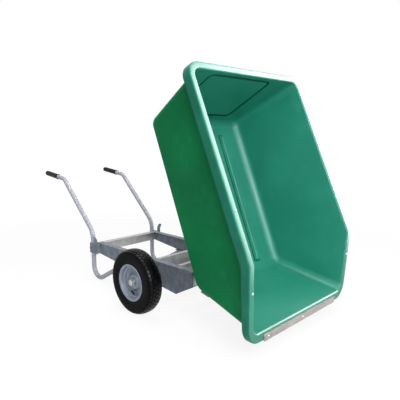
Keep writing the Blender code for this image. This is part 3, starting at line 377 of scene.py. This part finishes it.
def finished(name, bm, finishes, body, stands_for=(), sharp=40.0):
    """Makes the finished piece of a bmesh and lets it ride on its body."""
    mesh = bpy.data.meshes.new(name)
    bm.to_mesh(mesh)
    bm.free()
    for finish in finishes:
        mesh.materials.append(finish)
    mesh.shade_smooth()
    mesh.set_sharp_from_angle(angle=math.radians(sharp))
    made = bpy.data.objects.new(name, mesh)
    bpy.context.scene.collection.objects.link(made)
    even = made.modifiers.new("even_shading", "WEIGHTED_NORMAL")
    even.keep_sharp = True
    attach(made, body)
    if stands_for:
        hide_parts(*stands_for)
    return made


def merged(node):
    """A copy of a CAD node's shape as clean flat faces."""
    bm = bmesh.new()
    bm.from_mesh(frame["nodes"][node].data)
    bmesh.ops.remove_doubles(bm, verts=bm.verts, dist=0.00001)
    bmesh.ops.dissolve_limit(bm, angle_limit=math.radians(1.5), verts=bm.verts, edges=bm.edges)
    return bm


def worked(node, finish, body, width=EDGE_ROUND):
    """A CAD piece with the rolled or filed edges of the real one."""
    bm = merged(node)
    soften(bm, width)
    return finished(f"{node}_worked", bm, [finish], body, [node])


def spun(profile, steps, placed):
    """A profile of (radius, height) points turned about the placing's Z."""
    bm = bmesh.new()
    verts = [bm.verts.new((r, 0.0, z)) for r, z in profile]
    edges = [bm.edges.new(pair) for pair in zip(verts, verts[1:])]
    bmesh.ops.spin(
        bm, geom=verts + edges, cent=(0, 0, 0), axis=(0, 0, 1), angle=math.tau, steps=steps, use_merge=True,
    )
    bmesh.ops.remove_doubles(bm, verts=bm.verts, dist=0.000001)
    bmesh.ops.recalc_face_normals(bm, faces=bm.faces)
    bmesh.ops.transform(bm, matrix=placed, verts=bm.verts)
    return bm


def pulled(bm, edges, shift):
    """Extrudes an open ring by a shift and returns the new ring's edges."""
    grown = bmesh.ops.extrude_edge_only(bm, edges=edges)["geom"]
    bmesh.ops.translate(bm, vec=shift, verts=verts_of(grown))
    return [e for e in grown if isinstance(e, bmesh.types.BMEdge) and e.is_boundary]


def bent_tube(radius, corners, radii, around=32, turn_steps=14):
    """A round tube drawn along straight runs and bends, open at its ends."""
    bm = bmesh.new()
    corners = [Vector(c) for c in corners]
    along = (corners[1] - corners[0]).normalized()
    turn_up = along.to_track_quat("Z", "Y").to_matrix().to_4x4()
    bmesh.ops.create_circle(
        bm, segments=around, radius=radius, cap_ends=False, matrix=Matrix.Translation(corners[0]) @ turn_up,
    )
    edges = bm.edges[:]
    place = corners[0]
    for before, corner, after, bend in zip(corners, corners[1:], corners[2:], radii):
        along = (corner - before).normalized()
        ahead = (after - corner).normalized()
        turn = along.angle(ahead)
        start = corner - along * (bend * math.tan(turn / 2))
        for _ in range(RUN_STEPS):
            edges = pulled(bm, edges, (start - place) / RUN_STEPS)
        axis = along.cross(ahead).normalized()
        centre = start + axis.cross(along) * bend
        ring = list(dict.fromkeys(v for e in edges for v in e.verts)) + edges
        swept = bmesh.ops.spin(bm, geom=ring, cent=centre, axis=axis, angle=turn, steps=turn_steps)
        edges = [e for e in swept["geom_last"] if isinstance(e, bmesh.types.BMEdge)]
        place = corner + ahead * (bend * math.tan(turn / 2))
    pulled(bm, edges, corners[-1] - place)
    return bm


# Tub
def rim_direction():
    return Vector((math.cos(RIM_SLOPE), 0, math.sin(RIM_SLOPE)))


def cut_start():
    return Vector((CUT_START, 0, RIM_Z + (CUT_START - RIM_REAR) * math.tan(RIM_SLOPE)))


def lip():
    return Vector((LIP_X, 0, FLOOR_Z + LIP_H))


def cut_direction():
    return (lip() - cut_start()).normalized()


def upright(along):
    return Vector((-along.z, 0, along.x))


def flange_width(out):
    """Width of the rim's flange for this way out: wider at the lip than at the sides and the rear."""
    forward = max(0.0, out.normalized().dot(cut_direction()))
    return FLANGE + (LIP_FLANGE - FLANGE) * forward**2


def skirt_height(place):
    """Height of the skirt under this point of the rim: it loses height along the cut towards the lip."""
    cut = lip() - cut_start()
    share = (place - cut_start()).dot(cut) / cut.length_squared
    return SKIRT + (LIP_SKIRT - SKIRT) * min(1.0, max(0.0, share))


def tub_cage():
    """The tub's inner faces: a tapered box, open above, cut down at the front, with rounded corners."""
    bm = bmesh.new()
    bmesh.ops.create_cube(bm, size=2.0)
    floor = FLOOR_Z + TUB_WALL
    depth = RIM_Z - floor
    ramp = (lip() - cut_direction() * LIP_FLANGE - Vector((FLOOR_FRONT, 0, floor))).normalized()
    front = (FLOOR_FRONT, ramp.x / ramp.z)
    rear = (FLOOR_REAR + TUB_WALL, (RIM_REAR + FLANGE - FLOOR_REAR - TUB_WALL) / depth)
    half = (FLOOR_HALF - TUB_WALL, (RIM_HALF_WIDTH - FLANGE - FLOOR_HALF + TUB_WALL) / depth)
    for vert in bm.verts:
        rise = 2 * depth if vert.co.z > 0 else 0.0
        foot, slope = front if vert.co.x > 0 else rear
        across = half[0] + half[1] * rise
        vert.co = (foot + slope * rise, math.copysign(across, vert.co.y), floor + rise)
    top = [f for f in bm.faces if f.calc_center_median().z > floor + 1.5 * depth]
    bmesh.ops.delete(bm, geom=top, context="FACES")
    for along in (rim_direction(), cut_direction()):
        everything = bm.verts[:] + bm.edges[:] + bm.faces[:]
        bmesh.ops.bisect_plane(
            bm, geom=everything, plane_co=cut_start(), plane_no=upright(along), clear_outer=True,
        )
    round_off(bm, [e for e in bm.edges if not e.is_boundary], TUB_ROUND, 12)
    return bm


def add_rear_panel(bm):
    """A moulded groove on the rear wall that frames a flat panel, set back a little from the wall. The
    groove is painted dark as shade.
    """
    wall = min(bm.faces, key=lambda f: f.calc_center_median().x)
    normal = wall.normal.copy()
    if normal.x < 0:
        normal = -normal
    foot = Vector((FLOOR_REAR + TUB_WALL, 0, FLOOR_Z + TUB_WALL))
    rise = Vector((0, 1, 0)).cross(normal).normalized()
    if rise.z < 0:
        rise = -rise
    around = [e for e in wall.edges]
    bmesh.ops.delete(bm, geom=[wall], context="FACES_ONLY")
    ring = bmesh.ops.create_circle(bm, cap_ends=False, segments=PANEL_STEPS, radius=PANEL_ROUND)["verts"]
    turn = Matrix.Rotation(math.pi / PANEL_STEPS, 3, "Z")
    middle_y, half_y = sum(PANEL_Y) / 2, (PANEL_Y[1] - PANEL_Y[0]) / 2 - PANEL_ROUND
    middle_z, half_z = sum(PANEL_RISE) / 2, (PANEL_RISE[1] - PANEL_RISE[0]) / 2 - PANEL_ROUND
    for vert in ring:
        spot = turn @ vert.co
        across = middle_y + spot.x + math.copysign(half_y, spot.x)
        up = middle_z + spot.y + math.copysign(half_z, spot.y)
        vert.co = foot + Vector((0, across, 0)) + rise * up
    loop = [e for e in bm.edges if e.verts[0] in ring and e.verts[1] in ring]
    bmesh.ops.bridge_loops(bm, edges=around + loop)
    panel = bmesh.ops.contextual_create(bm, geom=loop)["faces"]
    for deepen in (-GROOVE_DEPTH, 0.0, GROOVE_DEPTH * PANEL_RETURN):
        stepped = bmesh.ops.inset_region(
            bm, faces=panel, thickness=GROOVE_W / 3, depth=0.0, use_even_offset=True,
        )
        bmesh.ops.translate(bm, vec=normal * deepen, verts=panel[0].verts[:])
        # The groove's faces take the painted-shade groove copy.
        for face in stepped["faces"]:
            face.material_index = 2
    side = max(map(abs, PANEL_Y)) + GROOVE_W
    low, high = foot.z + PANEL_RISE[0] * 0.5, foot.z + PANEL_RISE[1] * 1.2
    folds = folded(bm.edges, 20)
    near = [e for e in folds if all(low < v.co.z < high and abs(v.co.y) < side for v in e.verts)]
    near = [e for e in near if all(abs((v.co - foot).dot(normal)) < 2 * GROOVE_DEPTH for v in e.verts)]
    round_off(bm, near, GROOVE_EDGE, 2)


def rim_ways(bm):
    """For each point on the open edge, the way out in the rim's plane and the rim's normal, mitred."""
    ways = {}
    for edge in (e for e in bm.edges if e.is_boundary):
        a, b = edge.verts
        middle = (a.co + b.co) / 2
        normal = upright(cut_direction() if middle.x > CUT_START + 0.0005 else rim_direction())
        out = (b.co - a.co).cross(normal).normalized()
        if out.dot(middle - Vector(((RIM_REAR + LIP_X) / 2, 0, middle.z))) < 0:
            out = -out
        for vert in edge.verts:
            ways.setdefault(vert, []).append((out, normal))
    mitred = {}
    for vert, ((out_a, normal_a), (out_b, normal_b)) in ways.items():
        out = (out_a + out_b) / (1 + out_a.dot(out_b))
        mitred[vert] = (out, (normal_a + normal_b) / (1 + normal_a.dot(normal_b)))
    return mitred


def grow_edge(bm, ways, step):
    """Extrudes the open edge; step turns each point's two directions and its place into its shift."""
    edges = [e for e in bm.edges if e.is_boundary]
    grown = bmesh.ops.extrude_edge_only(bm, edges=edges)["geom"]
    carried = {}
    for vert in verts_of(grown):
        source = min(ways, key=lambda old: (old.co - vert.co).length)
        carried[vert] = ways[source]
    for vert, (out, normal) in carried.items():
        vert.co += step(out, normal, vert.co)
    return carried


def make_tub():
    bm = tub_cage()
    add_rear_panel(bm)
    ways = rim_ways(bm)
    inner_edge = [e for e in bm.edges if e.is_boundary]
    ways = grow_edge(bm, ways, lambda out, normal, place: out * flange_width(out))
    outer_edge = [e for e in bm.edges if e.is_boundary]
    above = set(bm.faces)
    grow_edge(bm, ways, lambda out, normal, place: -normal * skirt_height(place))
    # The skirt's faces take the skirt copy, which is painted dark as shade.
    for face in set(bm.faces) - above:
        face.material_index = 3
    round_off(bm, inner_edge + outer_edge, RIM_ROUND, 5)
    bmesh.ops.recalc_face_normals(bm, faces=bm.faces)
    floor = min(bm.faces, key=lambda f: f.calc_center_median().z)
    if floor.normal.z < 0:
        bmesh.ops.reverse_faces(bm, faces=bm.faces)
    bmesh.ops.transform(bm, matrix=TIPPED, verts=bm.verts)
    finishes = [TUB_PLASTIC_LIT, TUB_OUTSIDE_SHADED, TUB_GROOVE_SHADE, TUB_SKIRT_SHADED]
    made = finished("tub_moulding", bm, finishes, "tub", ["tub_shell"])
    wall = made.modifiers.new("wall", "SOLIDIFY")
    wall.thickness = TUB_WALL
    wall.offset = -1
    wall.use_even_offset = True
    # The wall's outer faces take the next finish. The inside copy's outer side gets the painted-shade
    # outside copy, and the groove's outer side gets the skirt's painted-shade copy.
    wall.material_offset = 1
    made.modifiers.move(len(made.modifiers) - 1, 0)


def make_tub_rib(side):
    """A raised rib on the tub's floor, with a moulded foot that runs into the floor. The foot is painted
    dark as the rib's shade.
    """
    floor = FLOOR_Z + TUB_WALL
    bm = bmesh.new()
    bmesh.ops.create_cube(bm, size=1.0)
    bmesh.ops.scale(bm, vec=(RIB_FRONT - RIB_REAR, RIB_W, RIB_H - RIB_FOOT), verts=bm.verts)
    centre = Vector(((RIB_FRONT + RIB_REAR) / 2, side * RIB_Y, floor + (RIB_H + RIB_FOOT) / 2))
    bmesh.ops.translate(bm, vec=centre, verts=bm.verts)
    for vert in bm.verts:
        if vert.co.z < centre.z:
            vert.co.x += math.copysign(RIB_SPREAD, vert.co.x - centre.x)
            vert.co.y += math.copysign(RIB_SPREAD, vert.co.y - centre.y)
    low = [f for f in bm.faces if f.normal.z < -0.9]
    bmesh.ops.delete(bm, geom=low, context="FACES_ONLY")
    upright_edges = [e for e in bm.edges if abs((e.verts[0].co - e.verts[1].co).z) > RIB_H / 2]
    round_off(bm, upright_edges, RIB_CORNER, 5)
    foot = [e for e in bm.edges if e.is_boundary]
    spread = bmesh.ops.extrude_edge_only(bm, edges=foot)["geom"]
    # The foot's faces take the painted-shade groove copy.
    for face in (g for g in spread if isinstance(g, bmesh.types.BMFace)):
        face.material_index = 1
    for vert in verts_of(spread):
        vert.co.x += math.copysign(RIB_SPREAD, vert.co.x - centre.x)
        vert.co.y += math.copysign(RIB_SPREAD, vert.co.y - centre.y)
        vert.co.z = floor - 0.001
    bmesh.ops.holes_fill(bm, edges=[e for e in bm.edges if e.is_boundary], sides=0)
    bmesh.ops.recalc_face_normals(bm, faces=bm.faces)
    high = [e for e in bm.edges if min(v.co.z for v in e.verts) > floor + RIB_FOOT / 2]
    round_off(bm, folded(high, 20), RIB_ROUND, 4)
    bmesh.ops.transform(bm, matrix=TIPPED, verts=bm.verts)
    finished(f"tub_rib_{side_name(side)}", bm, [TUB_PLASTIC_LIT, TUB_GROOVE_SHADE], "tub")


def dome(name, place, normal):
    """A domed fastener head that stands on a face of the tub."""
    profile = [
        (0, 0.0042), (DOME_R * 0.35, 0.0040), (DOME_R * 0.68, 0.0031), (DOME_R * 0.90, 0.0018),
        (DOME_R, 0.0004), (DOME_R, -0.0010), (0, -0.0010),
    ]
    placed = Matrix.Translation(place) @ normal.to_track_quat("Z", "Y").to_matrix().to_4x4()
    bm = spun(profile, 20, TIPPED @ placed)
    finished(name, bm, [ZINC], "tub")


def make_rim_bolts(side):
    tag = side_name(side)
    start = cut_start()
    straight = start + rim_direction() * (SIDE_BOLT_X - start.x) + Vector((0, side * SIDE_BOLT_Y, 0))
    cut = start + cut_direction() * CUT_BOLT_ALONG + Vector((0, side * CUT_BOLT_Y, 0))
    dome(f"side_rim_bolt_{tag}", straight, upright(rim_direction()))
    dome(f"cut_rim_bolt_{tag}", cut, upright(cut_direction()))


def make_lip_strip():
    """The wear strip with rounded ends, and a domed head over each of its bolts."""
    bm = merged("lip_strip")
    across = TIPPED.to_3x3() @ upright(cut_direction())
    high = max(abs(v.co.y) for v in bm.verts)
    ends = [e for e in bm.edges if min(abs(v.co.y) for v in e.verts) > high - 0.001]
    corners = [e for e in ends if abs((e.verts[1].co - e.verts[0].co).normalized().dot(across)) > 0.99]
    round_off(bm, corners, STRIP_CORNER, 5)
    soften(bm, STRIP_EDGE)
    finished("lip_strip_worked", bm, [STRIP_STEEL], "tub", ["lip_strip"])
    back = TIPPED.inverted()
    for index in (1, 2, 3):
        node = frame["nodes"][f"lip_strip_bolt_{index}"]
        spots = [back @ v.co for v in node.data.vertices]
        middle = sum(spots, Vector()) / len(spots)
        normal = upright(cut_direction())
        top = max((spot - middle).dot(normal) for spot in spots)
        dome(f"lip_bolt_cap_{index}", middle + normal * (top - CAP_SINK), normal)


# Handles
def handle_corners():
    """Where the handle tube's straight runs meet, forward of the axle and up from the ground."""
    bend_x, bend_z = GRIP_BEND
    grip_end = (bend_x - GRIP_RUN * math.cos(GRIP_RISE), bend_z + GRIP_RUN * math.sin(GRIP_RISE))
    knee_z = bend_z - (HANDLE_X - bend_x) * math.tan(SLOPE)
    rise = math.tan(STAY_ANGLE)
    ground_z = TUBE_R + GROUND_BEND_R - GROUND_BEND_R * (rise + 1 / math.cos(STAY_ANGLE))
    rail_low = REAR_LOW - RAIL_FALL * (HANDLE_X - FRAME_REAR)
    reach = (rail_low - ground_z) / (rise + RAIL_FALL)
    return [
        grip_end,
        GRIP_BEND,
        (HANDLE_X, knee_z),
        (HANDLE_X, ground_z),
        (HANDLE_X + reach, ground_z + reach * rise),
    ]


def make_handle(side):
    tag = side_name(side)
    corners = [(x + AXLE_X, side * HANDLE_Y, z) for x, z in handle_corners()]
    bm = bent_tube(TUBE_R, corners, [TOP_BEND_R, KNEE_R, GROUND_BEND_R])
    up = Vector((RAIL_FALL, 0, 1)).normalized()
    stay = {v for v in bm.verts if v.co.x > corners[3][0] + 2 * TUBE_R}
    low = list(stay) + [g for g in bm.edges[:] + bm.faces[:] if all(v in stay for v in g.verts)]
    cut = Vector(corners[-1]) - up * (PAD_T + PAD_GAP)
    bmesh.ops.bisect_plane(bm, geom=low, plane_co=cut, plane_no=up, clear_outer=True)
    bmesh.ops.holes_fill(bm, edges=[e for e in bm.edges if e.is_boundary], sides=0)
    bmesh.ops.recalc_face_normals(bm, faces=bm.faces)
    finished(f"handle_tube_{tag}", bm, [TUBE_STEEL_LIT], "chassis", [f"handle_{tag}"])


def make_grip(side):
    """A rubber sleeve with lengthwise ribs, a rounded end and a collar at its inner end."""
    tag = side_name(side)
    end_x, end_z = handle_corners()[0]
    profile = [
        (0, 0.0030), (0.010, 0.0030), (0.0155, 0.0018), (0.0185, -0.0010), (GRIP_R, -0.0060),
        (GRIP_R, -0.020), (GRIP_R - 0.0012, -0.026),
        (GRIP_R - 0.0012, -GRIP_LENGTH + 0.016), (GRIP_R, -GRIP_LENGTH + 0.011),
        (GRIP_R + 0.0015, -GRIP_LENGTH + 0.008), (GRIP_R + 0.0015, -GRIP_LENGTH + 0.002),
        (GRIP_R, -GRIP_LENGTH), (TUBE_R - 0.001, -GRIP_LENGTH), (TUBE_R - 0.001, -0.004), (0, -0.004),
    ]
    lean = Matrix.Rotation(-math.pi / 2 + GRIP_RISE, 4, "Y")
    placed = Matrix.Translation((end_x + AXLE_X, side * HANDLE_Y, end_z)) @ lean
    bm = spun(profile, GRIP_STEPS, Matrix.Identity(4))
    low, high = -GRIP_LENGTH + 0.017, -0.025
    strips = []
    for face in bm.faces:
        middle = face.calc_center_median()
        around = int((math.atan2(middle.y, middle.x) / math.tau % 1.0) * GRIP_STEPS)
        if low < middle.z < high and math.hypot(middle.x, middle.y) > TUBE_R and around % 3:
            strips.append(face)
    raised = bmesh.ops.extrude_face_region(bm, geom=strips)["geom"]
    bmesh.ops.delete(bm, geom=strips, context="FACES_ONLY")
    for vert in verts_of(raised):
        reach = math.hypot(vert.co.x, vert.co.y)
        vert.co.x *= 1 + GRIP_RIB_H / reach
        vert.co.y *= 1 + GRIP_RIB_H / reach
    bmesh.ops.recalc_face_normals(bm, faces=bm.faces)
    bmesh.ops.transform(bm, matrix=placed, verts=bm.verts)
    finished(f"grip_sleeve_{tag}", bm, [GRIP], "chassis", [f"grip_{tag}"])


# Wheels
def wheel_place(side):
    return Matrix.Translation((AXLE_X, side * TRACK_HALF, WHEEL_R)) @ outward(side)


def crown_radius(across):
    """Radius of the tyre's carcass under the tread at this distance from its middle plane."""
    return WHEEL_R - TREAD_DEPTH - CROWN_DROP * (abs(across) / TREAD_HALF) ** CROWN_CURVE


def make_tyre(side):
    """The tyre: beaded walls, and a crown with five rows of raised tread blocks."""
    tag = side_name(side)
    wall = [
        (0.1033, 0.030), (0.1033, 0.0415), (0.1080, 0.0445), (0.1155, 0.0462), (0.1185, 0.0470),
        (0.1200, 0.0478), (0.1225, 0.0478), (0.1240, 0.0470), (0.1300, 0.0478), (0.1400, 0.0492),
        (0.1500, 0.0499),
        (0.1600, 0.0500), (0.1690, 0.0496), (0.1700, 0.0499), (0.1722, 0.0499), (0.1732, 0.0492),
        (0.1790, 0.0480), (0.1835, 0.0462), (0.1860, 0.0445),
    ]
    crown = [(crown_radius(z), z) for z in reversed(TREAD_ROWS)]
    profile = wall + crown + [(r, -z) for r, z in reversed(wall)] + wall[:1]
    bm = spun(profile, TREAD_STEPS, Matrix.Identity(4))
    blocks = []
    for face in bm.faces:
        middle = face.calc_center_median()
        reach = math.hypot(middle.x, middle.y)
        if reach < crown_radius(TREAD_HALF) - 0.0002 or abs(middle.z) > TREAD_HALF:
            continue
        row = sum(middle.z > edge for edge in TREAD_ROWS)
        if row % 2 == 0:
            continue
        step = int((math.atan2(middle.y, middle.x) / math.tau % 1.0) * TREAD_STEPS)
        if (step + TREAD_SHIFTS[row]) % TREAD_PITCH != TREAD_PITCH - 1:
            blocks.append(face)
    raised = bmesh.ops.extrude_face_region(bm, geom=blocks)["geom"]
    bmesh.ops.delete(bm, geom=blocks, context="FACES_ONLY")
    for vert in verts_of(raised):
        reach = math.hypot(vert.co.x, vert.co.y)
        lift = TREAD_DEPTH * (SHOULDER_DEPTH if abs(vert.co.z) > SHOULDER else 1.0)
        vert.co.x *= 1 + lift / reach
        vert.co.y *= 1 + lift / reach
    for face in raised:
        if isinstance(face, bmesh.types.BMFace):
            face.material_index = 1
    bmesh.ops.recalc_face_normals(bm, faces=bm.faces)
    bmesh.ops.transform(bm, matrix=wheel_place(side), verts=bm.verts)
    finished(
        f"tyre_cover_{tag}", bm, [TYRE, TREAD], f"wheel_{tag}", [f"tyre_{tag}"], sharp=32.0,
    )


def make_rim(side):
    """The pressed rim: rolled flanges, and a dish that runs down to the hub, with a slot by the valve."""
    tag = side_name(side)
    dish = [
        (HUB_R + 0.0003, 0.0250), (0.0390, 0.0250), (0.0425, 0.0238), (0.0460, 0.0205),
        (SLOT_R[0], 0.0150), (0.0560, 0.0098), (0.0640, 0.0072), (0.0710, 0.0064), (SLOT_R[1], 0.0068),
    ]
    flange = [
        (0.0850, 0.0092), (0.0905, 0.0150), (0.0950, 0.0240), (0.0978, 0.0340), (0.0990, 0.0415),
        (0.1010, 0.0450), (0.1035, 0.0462), (0.1110, 0.0475), (0.1130, 0.0480),
        (0.1140, 0.0470), (0.1136, 0.0455), (0.1115, 0.0447), (0.1040, 0.0432), (0.1030, 0.0420),
        (0.1030, 0.0285), (0.0870, 0.0225), (0.0860, 0.0205),
    ]
    inner_flange = [
        (0.0860, -0.0205), (0.0870, -0.0225), (0.1030, -0.0285), (0.1030, -0.0420), (0.1040, -0.0432),
        (0.1115, -0.0447), (0.1136, -0.0455), (0.1140, -0.0470), (0.1130, -0.0480), (0.1110, -0.0475),
        (0.1035, -0.0462), (0.1010, -0.0450), (0.1000, -0.0425), (0.1000, -0.0290), (0.0985, -0.0270),
        (0.0845, -0.0225), (0.0830, -0.0200), (0.0830, -0.0030), (0.0815, 0.0015),
    ]
    back = [(r, z - RIM_T) for r, z in reversed(dish)]
    profile = dish + flange + inner_flange + back
    open_angle = SLOT_STEPS * math.tau / RIM_STEPS
    bm = spun(profile + profile[:1], RIM_STEPS, Matrix.Rotation(-open_angle, 4, "Z"))
    slot = []
    for face in bm.faces:
        middle = face.calc_center_median()
        radius = math.hypot(middle.x, middle.y)
        inside = SLOT_R[0] < radius < SLOT_R[1] and abs(middle.z) < 0.02
        if inside and abs(math.atan2(middle.y, middle.x)) < open_angle:
            slot.append(face)
    bmesh.ops.delete(bm, geom=slot, context="FACES")
    bmesh.ops.bridge_loops(bm, edges=[e for e in bm.edges if e.is_boundary])
    bmesh.ops.recalc_face_normals(bm, faces=bm.faces)
    spoke = Matrix.Rotation(SLOT_ANGLE if side < 0 else math.pi - SLOT_ANGLE, 4, "Z")
    bmesh.ops.transform(bm, matrix=wheel_place(side) @ spoke, verts=bm.verts)
    finished(f"wheel_rim_{tag}", bm, [RIM_PAINT], f"wheel_{tag}", [f"rim_{tag}"])


def make_hub(side):
    """The turned hub, with a collar at each end."""
    tag = side_name(side)
    profile = [
        (HUB_BORE, HUB_HALF - 0.001), (HUB_BORE + 0.001, HUB_HALF),
        (HUB_R - 0.0015, HUB_HALF), (HUB_R, HUB_HALF - 0.0015),
        (HUB_R, HUB_HALF - 0.010), (HUB_R - 0.001, HUB_HALF - 0.012), (HUB_R - 0.001, -HUB_HALF + 0.012),
        (HUB_R, -HUB_HALF + 0.010), (HUB_R, -HUB_HALF + 0.0015), (HUB_R - 0.0015, -HUB_HALF),
        (HUB_BORE + 0.001, -HUB_HALF), (HUB_BORE, -HUB_HALF + 0.001), (HUB_BORE, HUB_HALF - 0.001),
    ]
    bm = spun(profile, 48, wheel_place(side))
    finished(f"wheel_hub_{tag}", bm, [RIM_PAINT], f"wheel_{tag}", [f"hub_{tag}"])


def make_wheel(side):
    make_tyre(side)
    make_rim(side)
    make_hub(side)
    tag = side_name(side)
    worked(f"valve_{tag}", GRIP, f"wheel_{tag}", VALVE_EDGE)


# Steelwork
def make_clamp_plate(side):
    """The clamp's cheek, with the guide tab's top corners rounded off."""
    tag = side_name(side)
    bm = merged(f"clamp_plate_{tag}")
    top = max(v.co.z for v in bm.verts)
    high = [e for e in bm.edges if min(v.co.z for v in e.verts) > top - 0.006]
    corners = [e for e in high if abs(e.verts[0].co.x - e.verts[1].co.x) < 0.001]
    round_off(bm, corners, TAB_CORNER, 6)
    soften(bm, EDGE_ROUND)
    node = f"clamp_plate_{tag}"
    finished(f"{node}_worked", bm, [ANGLE_STEEL_SHADED], "chassis", [node])


def make_steelwork():
    """Everything that only needs its edges rounded."""
    for side in ("left", "right"):
        for name in ("rail", "axle_plate", "clamp_spacer", "stay_pad", "hinge_bracket"):
            worked(f"{name}_{side}", ANGLE_STEEL_SHADED, "chassis")
        worked(f"hinge_clevis_{side}", ANGLE_STEEL_SHADED, "tub")
        worked(f"axle_cap_{side}", ZINC, "chassis")
        worked(f"hinge_pin_{side}", ZINC, "chassis")
    for name in ("rear_member", "middle_member_rear", "middle_member_front", "front_member"):
        worked(name, MEMBER_STEEL_LIT, "chassis")
    worked("tub_cross_bar", ANGLE_STEEL_SHADED, "tub")
    worked("axle", ANGLE_STEEL_SHADED, "chassis")
    # The bolts take the darker painted-shade steel as well.
    for name, node in frame["nodes"].items():
        if "bolt" in name:
            worked(name, ANGLE_STEEL_SHADED, node["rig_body"], BOLT_EDGE)


for SIDE in (-1, 1):
    make_handle(SIDE)
    make_grip(SIDE)
    make_wheel(SIDE)
    make_tub_rib(SIDE)
    make_rim_bolts(SIDE)
    make_clamp_plate(SIDE)
make_tub()
make_lip_strip()
make_steelwork()


# Stage, light and camera
def make_floor():
    """A plain pale floor that fades to white in the picture and keeps the shadow."""
    bm = bmesh.new()
    bmesh.ops.create_circle(bm, cap_ends=True, segments=96, radius=FLOOR_R)
    mesh = bpy.data.meshes.new("studio_floor")
    bm.to_mesh(mesh)
    bm.free()
    made, tree, shader, place = begin("pale_studio_floor", {"Roughness": 0.9, "Specular IOR Level": 0.0})
    shader["Base Color"].default_value = linear("#D9D9D7")
    rays = add(tree, "LightPath", {}).outputs
    both_ways = {0: rays["Is Glossy Ray"], 1: rays["Is Transmission Ray"]}
    mirrored = add(tree, "Math", both_ways, operation="MAXIMUM")
    seen = add(tree, "Math", {0: rays["Is Camera Ray"], 1: mirrored.outputs[0]}, operation="MAXIMUM")
    reach = add(tree, "VectorMath", {0: place}, operation="LENGTH").outputs["Value"]
    far = add(tree, "MapRange", {"Value": reach, "From Min": 1.2, "From Max": 3.5}, **SOFT).outputs[0]
    glow = add(tree, "MapRange", {"Value": far, "To Min": 0.88, "To Max": 1.0})
    white = add(tree, "Emission", {"Color": linear("#FFFFFF"), "Strength": glow.outputs[0]})
    shade = add(tree, "Mix", {0: far, 6: (0.15, 0.15, 0.15, 1.0), 7: (0.0, 0.0, 0.0, 1.0)}, **COLOURS)
    dim = add(tree, "BsdfDiffuse", {"Color": shade.outputs[2]})
    both = add(tree, "AddShader", {0: white.outputs[0], 1: dim.outputs[0]})
    plain = tree.nodes["Principled BSDF"].outputs[0]
    shown = add(tree, "MixShader", {0: seen.outputs[0], 1: plain, 2: both.outputs[0]})
    tree.links.new(shown.outputs[0], tree.nodes["Material Output"].inputs["Surface"])
    mesh.materials.append(made)
    floor = bpy.data.objects.new("studio_floor", mesh)
    bpy.context.scene.collection.objects.link(floor)


def make_world():
    """White to the camera and in reflections, and a softer even light on the object."""
    world = bpy.data.worlds.new("studio")
    bpy.context.scene.world = world
    world.use_nodes = True
    tree = world.node_tree
    tree.nodes.clear()
    rays = add(tree, "LightPath", {}).outputs
    first = add(tree, "Math", {0: rays["Is Camera Ray"], 1: rays["Is Glossy Ray"]}, operation="MAXIMUM")
    second = add(tree, "Math", {0: first.outputs[0], 1: rays["Is Transmission Ray"]}, operation="MAXIMUM")
    even = add(tree, "Background", {"Color": linear("#EEF3FA"), "Strength": 0.14})
    white = add(tree, "Background", {"Color": (1, 1, 1, 1), "Strength": 1.0})
    mixed = add(tree, "MixShader", {0: second.outputs[0], 1: even.outputs[0], 2: white.outputs[0]})
    out = add(tree, "OutputWorld", {"Surface": mixed.outputs[0]})
    out.is_active_output = True


def softbox(name, place, aim, size, radiance, colour="#FFFFFF", lights=True):
    """A lamp of this width, height and brightness that faces the aim; some show only in gloss."""
    lamp = bpy.data.lights.new(name, "AREA")
    lamp.shape = "RECTANGLE"
    lamp.size, lamp.size_y = size
    lamp.energy = radiance * math.pi * size[0] * size[1]
    lamp.color = linear(colour)[:3]
    made = bpy.data.objects.new(name, lamp)
    bpy.context.scene.collection.objects.link(made)
    made.visible_camera = False
    made.visible_diffuse = lights
    turn = (place - aim).to_track_quat("Z", "Y")
    made.matrix_world = Matrix.Translation(place) @ turn.to_matrix().to_4x4()


def make_camera():
    data = bpy.data.cameras.new("photo_camera")
    data.sensor_width = SENSOR_WIDTH
    data.lens = FOCAL_PIXELS / PICTURE_PIXELS * SENSOR_WIDTH
    data.clip_end = 200.0
    camera = bpy.data.objects.new("photo_camera", data)
    bpy.context.scene.collection.objects.link(camera)
    turn = Matrix.Rotation(CAMERA_AZIMUTH, 4, "Z") @ Matrix.Rotation(math.pi / 2 - CAMERA_ELEVATION, 4, "X")
    camera.matrix_world = Matrix.Translation(CAMERA_PLACE) @ turn
    bpy.context.scene.camera = camera


def make_lamps():
    """Two cards that show only in gloss, for the rim and the tub's corners, and three soft lamps."""
    rim_card = MIDDLE + Vector((2.30, 4.15, 1.95))
    fillet_card = MIDDLE + LAMP_DISTANCE * Vector((0.69, -0.58, 0.44))
    right = MIDDLE + LAMP_DISTANCE * Vector((0.74, -0.52, 0.42))
    front = MIDDLE + LAMP_DISTANCE * Vector((0.71, 0.0, 0.71))
    overhead = Vector((AXLE_X, 0.0, OVERHEAD_Z))
    softbox("rim_card", rim_card, MIDDLE, (3.4, 4.6), 15.0, lights=False)
    softbox("fillet_card", fillet_card, MIDDLE, (7.0, 2.4), 3.0, "#C6D2FF", lights=False)
    softbox("right_softbox", right, MIDDLE, (2.5, 2.5), 7.5)
    softbox("front_softbox", front, MIDDLE, (2.5, 2.5), 2.4)
    softbox("overhead_softbox", overhead, Vector((AXLE_X, 0.0, 0.0)), (3.2, 3.2), 3.6)


make_floor()
make_world()
make_camera()
make_lamps()
bpy.context.scene.view_settings.view_transform = "Standard"
